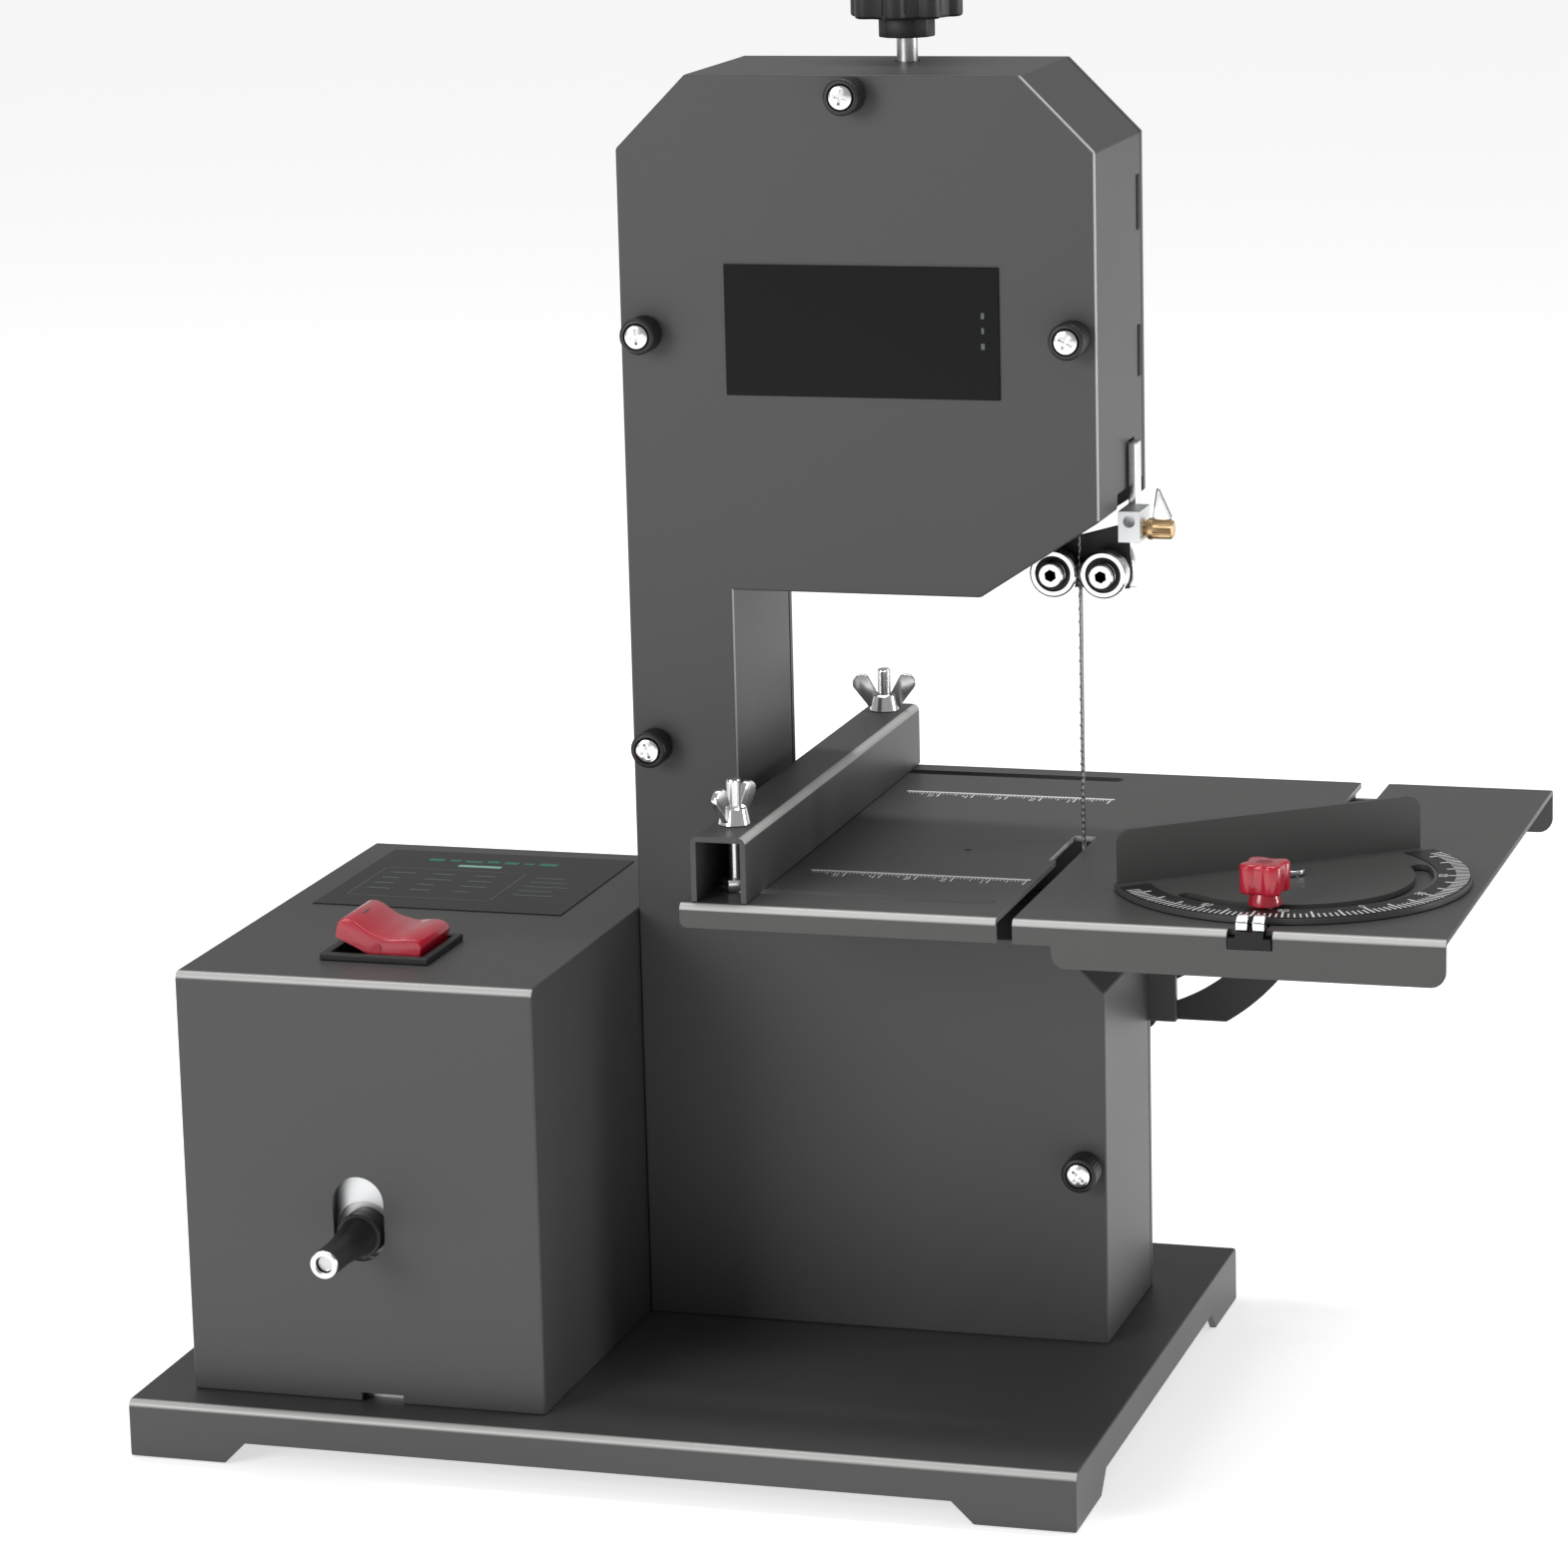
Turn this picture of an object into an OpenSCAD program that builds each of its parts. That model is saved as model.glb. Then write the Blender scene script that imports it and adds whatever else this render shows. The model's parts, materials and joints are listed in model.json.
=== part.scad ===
// Bench band saw in folded sheet steel: a base tray, a motor box with an outside spindle,
// a C-shaped housing with two wheels and a narrow blade, a tilting table with a rip fence
// and a mitre gauge. +X is to the operator's right, +Y away from the operator, +Z up.
// The origin is the middle of the base's footprint on the bench.

/* [Base] */
// Width of the base tray
base_w = 264; // [256:1:300]
// Depth of the base tray
base_d = 197; // [190:1:230]
// Height of the base tray, feet included
base_h = 16; // [14:1:20]

/* [Motor box] */
// Left side of the motor box
box_x = -117.6; // [-120:0.2:-114]
// Front of the motor box
box_y = -85.8; // [-88:0.2:-84]
// Depth of the motor box
box_d = 151; // [148:1:154]
// Height of the motor box above the base
box_h = 117.4; // [112:0.2:120]
// Height of the spindle axis
spindle_z = 62.8; // [60:0.2:66]

/* [Housing] */
// Left side of the housing
house_x = -16.4; // [-18:0.2:-15]
// Width of the housing
house_w = 132.6; // [130:0.2:134]
// Front of the housing
house_y = 4.4; // [2:0.2:6]
// Depth of the housing
house_d = 55; // [54:1:58]
// Top of the housing
house_top = 364.2; // [360:0.2:370]
// Underside of the upper housing, the ceiling of the throat
throat_z = 224.3; // [222:0.1:226]
// Width of the column
column_w = 30; // [28:1:31]

/* [Wheels and blade] */
// Radius at the middle of the blade's thickness, round a wheel
wheel_r = 50; // [49.5:0.1:50.2]
// Blade width
blade_w = 3.5; // [3:0.5:4]
// Blade thickness
blade_t = 0.4; // [0.4:0.1:0.5]

/* [Table] */
// Height of the table top
table_z = 151.7; // [151:0.1:153]
// Left edge of the table
table_x = 15.9; // [15.5:0.1:17]
// Width of the table
table_w = 204.4; // [200:0.2:206]
// Front edge of the table
table_y = -57.8; // [-60:0.2:-56]
// Depth of the table
table_d = 176.6; // [174:0.2:180]
// Thickness of the table sheet
table_t = 1.5; // [1.5:0.1:2]

/* [Mitre gauge] */
// Angle that the gauge is set to, from square
mitre_set = 38.3; // [0:0.1:60]
// Outer radius of the protractor
mitre_r = 47.7; // [46:0.1:48]

/* [Hidden] */
$fn = 64;

// Sheets and gaps
base_t = 2;
box_t = 1.5;
cover_t = 1.2;
back_t = 2.5;
gap = 0.3;
eps = 0.01;

// Places that follow from the driving sizes
box_r = house_x - 0.2;
box_back = box_y + box_d;
box_top = base_h + box_h;
house_r = house_x + house_w;
house_back = house_y + house_d;
low_top = 130;
low_cut = 14;
top_cut = 20;
guide_cut_x = 33;
guide_cut_z = 21.4;
spindle_x = -67.7;
spindle_nose = -112;
wheel_y = house_y + house_d / 2;
wheel_x = 54.2;
wheel_w = 8;
upper_z = 303;
lower_z = 72.4;
blade_x = wheel_x + wheel_r;
tyre_r = wheel_r - blade_t / 2 - gap;
rim_r = tyre_r - 1.5;
shaft_r = 4;
pulley_y = 45;
pulley_w = 8;
drive_r = 9;
driven_r = 27;
belt_t = 2;
block_y = 50;
tension_x = wheel_x;
tension_y = 46;
sheet_under = table_z - table_t;
tilt_z = table_z - 3.5;
flange_h = 12.5;
flange_low = 6.5;
mitre_x = 169.5;
mitre_y = -2.9;
fence_x = 26.4;
fence_w = 15.2;
fence_h = 18;
front_slot_y = -40.5;
rear_slot_y = 107.5;
guide_z = 226.8;
bearing_r = 6.5;
bearing_off = bearing_r + blade_t / 2 + gap;
quad_r = 63.5;
quad_slot_r = 49.4;
thumb_spots = [[49.3, 359], [house_x + 7, 294.4], [house_r - 6.6, 295], [house_x + 6.6, 180.2],
    [house_r - 6, 66.3]];

// A box between two opposite corners
module slab(a, b) {
    translate(a) cube(b - a);
}

// A round bar from a point, along +X, +Y or +Z
module rod_x(p, r, l) { translate(p) rotate([0, 90, 0]) cylinder(r = r, h = l); }
module rod_y(p, r, l) { translate(p) rotate([-90, 0, 0]) cylinder(r = r, h = l); }
module rod_z(p, r, l) { translate(p) cylinder(r = r, h = l); }

// A flat outline in the X-Z plane, pushed from y0 to y1
module upright(y0, y1) {
    translate([0, y1, 0]) rotate([90, 0, 0]) linear_extrude(height = y1 - y0) children();
}

// An obround hole outline: centre, half width, centre distance, along X or Z
module obround(half, run, turn = 0) {
    rotate(turn) union() {
        translate([-run / 2, -half]) square([run, 2 * half]);
        translate([-run / 2, 0]) circle(r = half);
        translate([run / 2, 0]) circle(r = half);
    }
}

// The C outline of the housing, drawn inwards by t
function half_turn(a) = tan(a / 2);
guide_angle = atan(guide_cut_z / guide_cut_x);
function c_outline(t, foot = base_h) =
    let (q = t * tan(22.5), g = t * half_turn(guide_angle), k = t * half_turn(90 - guide_angle),
        cx = house_x + column_w)
    [[house_x + t, foot], [house_r - t, foot], [house_r - t, low_top - low_cut - q],
     [house_r - low_cut - q, low_top - t], [cx - t, low_top - t], [cx - t, throat_z + t],
     [house_r - guide_cut_x - g, throat_z + t], [house_r - t, throat_z + guide_cut_z + k],
     [house_r - t, house_top - top_cut - q], [house_r - top_cut - q, house_top - t],
     [house_x + top_cut + q, house_top - t], [house_x + t, house_top - top_cut - q]];

// Sheet folded over one edge: a strip of thickness t from (0,0), r is the outer bend radius
module quarter(r) {
    intersection() {
        circle(r = r);
        translate([-r, 0]) square([r, r]);
    }
}

module base_plate() {
    foot = 27.5;
    rise = 6;
    bend = 2;
    color("dimgray") difference() {
        union() {
            // front, top and back are one sheet with a soft bend at each edge
            rotate([90, 0, 90]) translate([0, 0, -base_w / 2]) linear_extrude(height = base_w)
            difference() {
                union() {
                    translate([-base_d / 2 + bend, 0]) square([base_d - 2 * bend, base_h]);
                    translate([-base_d / 2, 0]) square([base_d, base_h - bend]);
                    translate([-base_d / 2 + bend, base_h - bend]) circle(r = bend);
                    translate([base_d / 2 - bend, base_h - bend]) circle(r = bend);
                }
                translate([-base_d / 2 + base_t, -eps]) square([base_d - 2 * base_t, base_h - base_t]);
            }
            for (x = [-base_w / 2, base_w / 2 - base_t])
                slab([x, -base_d / 2 + base_t, 0], [x + base_t, base_d / 2 - base_t, base_h - base_t]);
        }
        // the skirts are cut away between the corner feet, with sloping ends
        upright(-base_d, base_d) polygon([[-base_w / 2 + foot, -1], [-base_w / 2 + foot, 0],
            [-base_w / 2 + foot + rise, rise], [base_w / 2 - foot - rise, rise], [base_w / 2 - foot, 0],
            [base_w / 2 - foot, -1]]);
        rotate([90, 0, 90]) translate([0, 0, -base_w]) linear_extrude(height = 2 * base_w)
            polygon([[-base_d / 2 + foot, -1], [-base_d / 2 + foot, 0], [-base_d / 2 + foot + rise, rise],
                [base_d / 2 - foot - rise, rise], [base_d / 2 - foot, 0], [base_d / 2 - foot, -1]]);
    }
}

// Front, top and sides of the motor box; the front has the spindle's slot
module motor_cover() {
    bend = 2;
    color([0.3, 0.3, 0.3]) difference() {
        rotate([90, 0, 90]) translate([0, 0, box_x]) linear_extrude(height = box_r - box_x) union() {
            translate([box_y + bend, base_h]) square([box_d - bend - eps, box_h]);
            translate([box_y, base_h]) square([bend + eps, box_h - bend]);
            translate([box_y + bend, box_top - bend]) circle(r = bend);
        }
        slab([box_x + box_t, box_y + box_t, base_h - 1],
            [box_r - box_t, box_back + 1, box_top - box_t]);
        // slot that lets the motor rise to tighten the belt
        upright(box_y - 1, box_y + box_t + 1) translate([spindle_x, spindle_z + 4.6])
            obround(7.25, 9, 90);
        // hand notch at the bottom of the front
        slab([-69, box_y - 1, base_h - 1], [-57, box_y + box_t + 1, base_h + 2.6]);
        // opening for the switch
        slab([switch_x - 14.4, switch_y - 12.8, box_top - 3], [switch_x + 14.4, switch_y + 12.8,
            box_top + 1]);
        // opening for the belt in the wall beside the housing
        slab([box_r - 3, pulley_y - 8, 30], [box_r + 1, pulley_y + 10, 112]);
    }
}

module rear_panel() {
    color([0.28, 0.28, 0.28]) difference() {
        slab([box_x + box_t + 0.1, box_back - box_t - 0.5, base_h],
            [box_r - box_t - 0.1, box_back - 0.5, box_top - box_t - 0.1]);
        for (k = [0 : 7])
            upright(box_back - 5, box_back + 1) translate([-58, 50 + 8 * k]) obround(1.5, 44);
        rod_y([-100, box_back - 5, 36], 6.1, 8);
    }
}

module panel_screws() {
    color("silver") for (x = [box_x + 8, box_r - 8], z = [base_h + 8, box_top - 10])
        rod_y([x, box_back - 0.5, z], 3, 1.8);
}

module power_inlet() {
    color([0.08, 0.08, 0.08]) difference() {
        union() {
            rod_y([-100, box_back - 16, 36], 6, 15.5);
            rod_y([-100, box_back - 0.5, 36], 7.5, 2);
        }
        rod_y([-100, box_back - 8, 36], 2.75, 12);
    }
}

module motor_mount() {
    color([0.75, 0.76, 0.77]) difference() {
        union() {
            slab([spindle_x - 34, box_y + 5, base_h], [spindle_x + 34, box_y + 8, 100]);
            slab([spindle_x - 34, box_y + 8, base_h], [spindle_x + 34, box_y + 34, base_h + 3]);
        }
        rod_y([spindle_x, box_y, spindle_z], 8.2, 12);
        for (s = [-1, 1])
            rod_y([spindle_x + 15 * s, box_y, spindle_z], 2.1, 12);
    }
}

module motor_body() {
    color([0.55, 0.56, 0.58]) difference() {
        union() {
            rod_y([spindle_x, box_y + 8, spindle_z], 23, 92);
            rod_y([spindle_x, box_y + 6, spindle_z], 8, 2);
            rod_y([spindle_x, box_y + 100, spindle_z], 8, 6);
        }
        rod_y([spindle_x, box_y, spindle_z], 3.05, 120);
    }
}

module motor_shaft() {
    color("silver") rod_y([spindle_x, box_y - 6, spindle_z], 3, pulley_y + pulley_w / 2 + 8 - box_y);
}

module spindle_sleeve() {
    nose = 12;
    collar_y = box_y - 1;
    color([0.06, 0.06, 0.06]) difference() {
        union() {
            rod_y([spindle_x, spindle_nose, spindle_z], 3.9, nose);
            translate([spindle_x, spindle_nose + nose, spindle_z]) rotate([-90, 0, 0])
                cylinder(r1 = 3.9, r2 = 5.2, h = collar_y - spindle_nose - nose);
            rod_y([spindle_x, collar_y, spindle_z], 6.2, 6.6);
        }
        rod_y([spindle_x, spindle_nose - 1, spindle_z], 2.4, 10 + 1);
        rod_y([spindle_x, box_y - 6, spindle_z], 3, 20);
    }
}

// A grooved belt pulley with its bore along Y
module belt_pulley(x, z, r, bore) {
    color("silver") difference() {
        translate([x, pulley_y - pulley_w / 2, z]) rotate([-90, 0, 0]) union() {
            cylinder(r = r, h = pulley_w);
            cylinder(r = r + 2.5, h = 1.5);
            translate([0, 0, pulley_w - 1.5]) cylinder(r = r + 2.5, h = 1.5);
        }
        rod_y([x, pulley_y - 20, z], bore, 40);
    }
}

module drive_pulley() { belt_pulley(spindle_x, spindle_z, drive_r, 3); }
module driven_pulley() { belt_pulley(wheel_x, lower_z, driven_r, shaft_r); }

// Points of an arc about p, outside the circle by its own sagitta so that nothing cuts in
function arc_points(p, r, a0, a1, n) =
    [for (k = [0 : n]) let (a = a0 + (a1 - a0) * k / n, out = r / cos((a1 - a0) / n / 2))
        p + out * [cos(a), sin(a)]];

// The outline round two pulleys, one closed line from the outer tangents and the two wraps
module belt_outline(r1, r2) {
    run = norm([wheel_x - spindle_x, lower_z - spindle_z]);
    lift = atan2(lower_z - spindle_z, wheel_x - spindle_x);
    open = acos((r1 - r2) / run);
    translate([spindle_x, spindle_z]) rotate(lift)
        polygon(concat(arc_points([run, 0], r2, -open, open, 24),
            arc_points([0, 0], r1, open, 360 - open, 16)));
}

module drive_belt() {
    grip = 0.1;
    color([0.05, 0.05, 0.05]) difference() {
        upright(pulley_y - 2.2, pulley_y + 2.2)
            belt_outline(drive_r + grip + belt_t, driven_r + grip + belt_t);
        upright(pulley_y - 3, pulley_y + 3) belt_outline(drive_r + grip, driven_r + grip);
    }
}

module lower_shaft() {
    color("silver") rod_y([wheel_x, wheel_y - 8, lower_z], shaft_r, house_back - back_t - wheel_y + 7.5);
}

// A wheel with a hub, a thin web with round windows, and a rim; bore is the hub's radius inside
module saw_wheel(z, bore) {
    web = 2;
    hub_r = 10;
    color([0.7, 0.71, 0.72]) translate([wheel_x, wheel_y, z]) rotate([-90, 0, 0]) difference() {
        union() {
            translate([0, 0, -wheel_w / 2]) difference() {
                cylinder(r = rim_r, h = wheel_w);
                translate([0, 0, -1]) cylinder(r = rim_r - 4, h = wheel_w + 2);
            }
            translate([0, 0, -web / 2]) cylinder(r = rim_r - 3, h = web);
            translate([0, 0, -wheel_w / 2]) cylinder(r = hub_r, h = wheel_w);
        }
        translate([0, 0, -10]) cylinder(r = bore, h = 20);
        for (k = [0 : 5])
            rotate(60 * k) translate([26, 0, -10]) cylinder(r = 8, h = 20);
    }
}

module wheel_tyre(z) {
    color([0.1, 0.1, 0.1]) translate([wheel_x, wheel_y - wheel_w / 2, z]) rotate([-90, 0, 0])
    difference() {
        cylinder(r = tyre_r, h = wheel_w);
        translate([0, 0, -1]) cylinder(r = rim_r, h = wheel_w + 2);
    }
}

module lower_wheel() { saw_wheel(lower_z, shaft_r); }
module lower_tyre() { wheel_tyre(lower_z); }
module upper_wheel() { saw_wheel(upper_z, shaft_r + 0.05); }
module upper_tyre() { wheel_tyre(upper_z); }

module bearing_block() {
    color([0.6, 0.6, 0.62]) difference() {
        slab([wheel_x - 17, block_y, lower_z - 17], [wheel_x + 17, house_back - back_t, lower_z + 17]);
        rod_y([wheel_x, block_y - 1, lower_z], shaft_r + 0.05, 10);
    }
}

module back_frame() {
    color([0.2, 0.2, 0.2]) difference() {
        union() {
            upright(house_back - back_t, house_back) polygon(c_outline(0));
            // tab that the trunnion plate slides against
            slab([house_r - 4, house_back - back_t, tilt_z - quad_r + 9.6], [124, house_back, 125]);
            slab([house_x + 2, house_back - 20, base_h], [house_r - 3, house_back - back_t, base_h + 2.5]);
        }
        for (a = [-84, -110])
            rod_y([blade_x + quad_slot_r * cos(a), 50, tilt_z + quad_slot_r * sin(a)], 2.5, 12);
    }
}

module front_cover() {
    wall_end = house_back - back_t - gap;
    color([0.33, 0.33, 0.33]) difference() {
        upright(house_y, wall_end) polygon(c_outline(0));
        upright(house_y + cover_t, wall_end + 1) polygon(c_outline(cover_t, base_h - 1));
        // the left wall stops on top of the motor box
        slab([house_x - 1, house_y + cover_t, base_h - 1], [house_x + cover_t + 1, 70, box_top + 0.3]);
        // way for the blade out of the lower housing
        slab([blade_x - 6, wheel_y - 6, low_top - 10], [blade_x + 6, 70, low_top + 2]);
        // way for the blade and its guide out of the upper housing
        slab([house_r - guide_cut_x + 3, wheel_y - 6, throat_z - 1], [house_r + 1, 70, throat_z + 16]);
        slab([house_r - 12, wheel_y - 6, throat_z + 10], [house_r + 1, 70, throat_z + guide_cut_z + 4]);
        // slot beside the guide post
        slab([house_r - 4, wheel_y + 8, throat_z + 15], [house_r + 1, wheel_y + 14.5, throat_z + 38]);
        // hole for the tension screw
        rod_z([tension_x, tension_y, house_top - 5], 3.6, 10);
        for (p = thumb_spots)
            rod_y([p.x, house_y - 1, p.y], 2.2, 4);
    }
}

module standoffs() {
    color([0.6, 0.6, 0.62]) for (p = thumb_spots) difference() {
        if (p.y > upper_z + 50) union() {
            // the top one stops short of the tension screw and is carried past it on a bar
            rod_y([p.x, house_y + cover_t, p.y], 3, 37);
            slab([p.x - 2.8, 38, p.y - 2.6], [p.x + 1.4, house_back - back_t, p.y + 2.6]);
        }
        else rod_y([p.x, house_y + cover_t, p.y], 3, house_d - cover_t - back_t);
        rod_y([p.x, house_y, p.y], 2, 14);
    }
}

module thumb_screws() {
    color("silver") for (p = thumb_spots) difference() {
        union() {
            rod_y([p.x, house_y - 9.2, p.y], 3.5, 1.4);
            rod_y([p.x, house_y - 8, p.y], 2, 20);
        }
        slab([p.x - 2.2, house_y - 10, p.y - 0.45], [p.x + 2.2, house_y - 8.3, p.y + 0.45]);
        slab([p.x - 0.45, house_y - 10, p.y - 2.2], [p.x + 0.45, house_y - 8.3, p.y + 2.2]);
    }
}

module thumb_collars() {
    color([0.07, 0.07, 0.07]) for (p = thumb_spots) difference() {
        rod_y([p.x, house_y - 8, p.y], 5, 8);
        rod_y([p.x, house_y - 9, p.y], 2, 10);
        rod_y([p.x, house_y - 9, p.y], 4, 1.2);
    }
}

module front_panel() {
    color([0.05, 0.05, 0.05]) slab([13.4, house_y - 0.6, 278], [89.7, house_y, 313.5]);
}

module tension_block() {
    color([0.65, 0.66, 0.68]) difference() {
        slab([wheel_x - 12, 41, upper_z - 12], [wheel_x + 12, 52, upper_z + 19]);
        rod_z([tension_x, tension_y, upper_z + 5], 2.95, 20);
        rod_y([wheel_x, 30, upper_z], shaft_r, 30);
    }
}

module upper_axle() {
    color("silver") union() {
        rod_y([wheel_x, wheel_y - 5, upper_z], shaft_r, 52 - wheel_y + 5);
        rod_y([wheel_x, wheel_y - 7, upper_z], 6.5, 2.4);
        rod_y([wheel_x, wheel_y + wheel_w / 2 + 0.4, upper_z], 6.5, 3);
    }
}

module tension_rails() {
    top = upper_z + 44;
    color([0.25, 0.25, 0.25]) difference() {
        union() {
            for (s = [-1, 1])
                slab([wheel_x + s * 14.5 - 2.2, 41, upper_z - 22], [wheel_x + s * 14.5 + 2.2,
                    house_back - back_t, top]);
            slab([wheel_x - 14.5, 41, top - 3], [wheel_x + 14.5, house_back - back_t, top]);
            slab([wheel_x - 14.5, 52.4, upper_z - 22], [wheel_x + 14.5, house_back - back_t, top]);
        }
        rod_z([tension_x, tension_y, top - 5], 2.95, 10);
    }
}

module tension_screw() {
    color("silver") rod_z([tension_x, tension_y, upper_z + 6], 2.9, house_top + 12 - upper_z - 6);
}

module tension_knob() {
    hub_z = house_top + 6.6;
    lobe_r = 3.2;
    color([0.06, 0.06, 0.06]) translate([tension_x, tension_y, 0]) difference() {
        union() {
            translate([0, 0, hub_z]) cylinder(r = 7.9, h = 6);
            translate([0, 0, hub_z + 5.4]) linear_extrude(height = 14) union() {
                circle(r = 13.4);
                for (k = [0 : 7])
                    rotate(45 * k) translate([15.7 - lobe_r, 0]) circle(r = lobe_r);
            }
            translate([0, 0, hub_z + 19.4]) cylinder(r1 = 12.6, r2 = 11.4, h = 1.6);
        }
        translate([0, 0, hub_z - 1]) cylinder(r = 2.9, h = 7);
    }
}

// The endless band: two straight runs and the half turns over both wheels
module blade() {
    run = upper_z - lower_z;
    color([0.45, 0.45, 0.47]) upright(wheel_y - blade_w / 2, wheel_y + blade_w / 2)
    translate([wheel_x, lower_z]) difference() {
        translate([0, run / 2]) obround(wheel_r + blade_t / 2, run, 90);
        translate([0, run / 2]) obround(wheel_r - blade_t / 2, run, 90);
    }
}

// Upper blade guide
post_x = house_r + 0.5;
post_w = 2.2;
arm_y = 36.5;
module guide_post() {
    color([0.72, 0.73, 0.74]) union() {
        slab([post_x, arm_y, guide_z - 4.5], [post_x + post_w, 43, 262]);
        slab([post_x, 43, guide_z - 4.5], [post_x + post_w, 50.5, 240]);
    }
}

module guide_block() {
    color([0.8, 0.8, 0.81]) difference() {
        slab([post_x, 24, 236.9], [post_x + 6, arm_y, 245.4]);
        rod_y([post_x + 3, 23, 242.6], 1.6, 5);
        rod_x([post_x + 1.4, 31, 239.6], 1.55, 10);
    }
}

module guide_arm() {
    color([0.12, 0.12, 0.12]) difference() {
        upright(arm_y, arm_y + 2) polygon([[blade_x - 12, guide_z - 5], [post_x, guide_z - 5],
            [post_x, 240], [blade_x - 2, 236], [blade_x - 12, guide_z + 4]]);
        for (s = [-1, 1])
            rod_y([blade_x + s * bearing_off, arm_y - 1, guide_z], 2, 4);
    }
}

module bearing_bolts() {
    color("silver") for (s = [-1, 1]) translate([blade_x + s * bearing_off, 0, guide_z]) difference() {
        union() {
            rod_y([0, 27.2, 0], 1.95, arm_y + 3 - 27.2);
            rod_y([0, 25.8, 0], 3.5, 2.4);
            rod_y([0, 34, 0], 3, arm_y - 34);
            rod_y([0, arm_y + 2, 0], 3.4, 2);
        }
        rotate([-90, 0, 0]) translate([0, 0, 25.2]) cylinder(r = 1.7, h = 1.8, $fn = 6);
    }
}

module thrust_pin() {
    color("silver") rod_y([blade_x, wheel_y + blade_w / 2 + gap, guide_z], 2.2,
        arm_y - wheel_y - blade_w / 2 - gap);
}

module guide_bearing(s) {
    color([0.7, 0.7, 0.72]) translate([blade_x + s * bearing_off, 0, guide_z]) difference() {
        rod_y([0, 28.7, 0], bearing_r, 5);
        rod_y([0, 28, 0], 2, 6);
        for (y = [28.2, 33.3])
            rotate([-90, 0, 0]) translate([0, 0, y]) difference() {
                cylinder(r = 5.4, h = 0.9);
                translate([0, 0, -1]) cylinder(r = 3.2, h = 3);
            }
    }
}

module guide_bearing_left() { guide_bearing(-1); }
module guide_bearing_right() { guide_bearing(1); }

module lock_screw() {
    color([0.72, 0.56, 0.33]) union() {
        rod_x([post_x + 2, 31, 239.6], 1.5, 5);
        rod_x([post_x + 6.3, 31, 239.6], 2.7, 7.6);
        rod_x([post_x + 7.2, 31, 239.6], 3, 0.8);
    }
}

// A straight length of round wire with round ends
module wire(a, b, r) {
    hull() {
        translate(a) sphere(r = r, $fn = 16);
        translate(b) sphere(r = r, $fn = 16);
    }
}

module lock_bail() {
    x0 = post_x + 9;
    top = [x0 + 0.6, 31, 250.4];
    color("silver") union() {
        wire([x0 - 0.6, 31, 242.85], top, 0.5);
        wire(top, [x0 + 4, 31, 242.85], 0.5);
    }
}

module switch_bezel() {
    color([0.1, 0.1, 0.1]) difference() {
        union() {
            slab([switch_x - 15.5, switch_y - 14, box_top], [switch_x + 15.5, switch_y + 14, box_top + 2]);
            slab([switch_x - 14.2, switch_y - 12.6, box_top - 9], [switch_x + 14.2, switch_y + 12.6,
                box_top + eps]);
        }
        slab([switch_x - 13.2, switch_y - 11.6, box_top - 7], [switch_x + 13.2, switch_y + 11.6,
            box_top + 3]);
    }
}

// Switch centre and how far the rocker leans at rest
switch_x = -67.8;
switch_y = -53;
rocker_lean = 14;
rocker_pivot = box_top + 3.4;
module rocker() {
    half = 11.2;
    color([0.8, 0.05, 0.12]) translate([switch_x, 0, rocker_pivot]) rotate([0, rocker_lean, 0]) union() {
        upright(switch_y - half, switch_y + half) polygon([[-12, -0.3], [-12.2, 4.2], [-9.4, 5.4],
            [-3, 3.4], [3, 3.4], [9.4, 5.4], [12.2, 4.2], [12, -0.3], [0, -2.6]]);
        // pivot stubs at both ends
        rod_y([0, switch_y - half - 0.3, 0], 1.4, 2 * half + 0.6);
    }
}

module control_label() {
    color([0.05, 0.06, 0.06]) slab([-108.6, -8, box_top], [-35, 57.2, box_top + 0.3]);
}

// A flange hanging from the table's edge, with rounded bottom corners at its free ends
module flange_outline(x0, x1, drop, r0, r1) {
    union() {
        translate([x0, table_z - drop + max(r0, r1)]) square([x1 - x0, drop - max(r0, r1)]);
        translate([x0 + r0, table_z - drop]) square([x1 - x0 - r0 - r1, drop]);
        if (r0 > 0) translate([x0 + r0, table_z - drop + r0]) circle(r = r0);
        if (r1 > 0) translate([x1 - r1, table_z - drop + r1]) circle(r = r1);
    }
}

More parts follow.
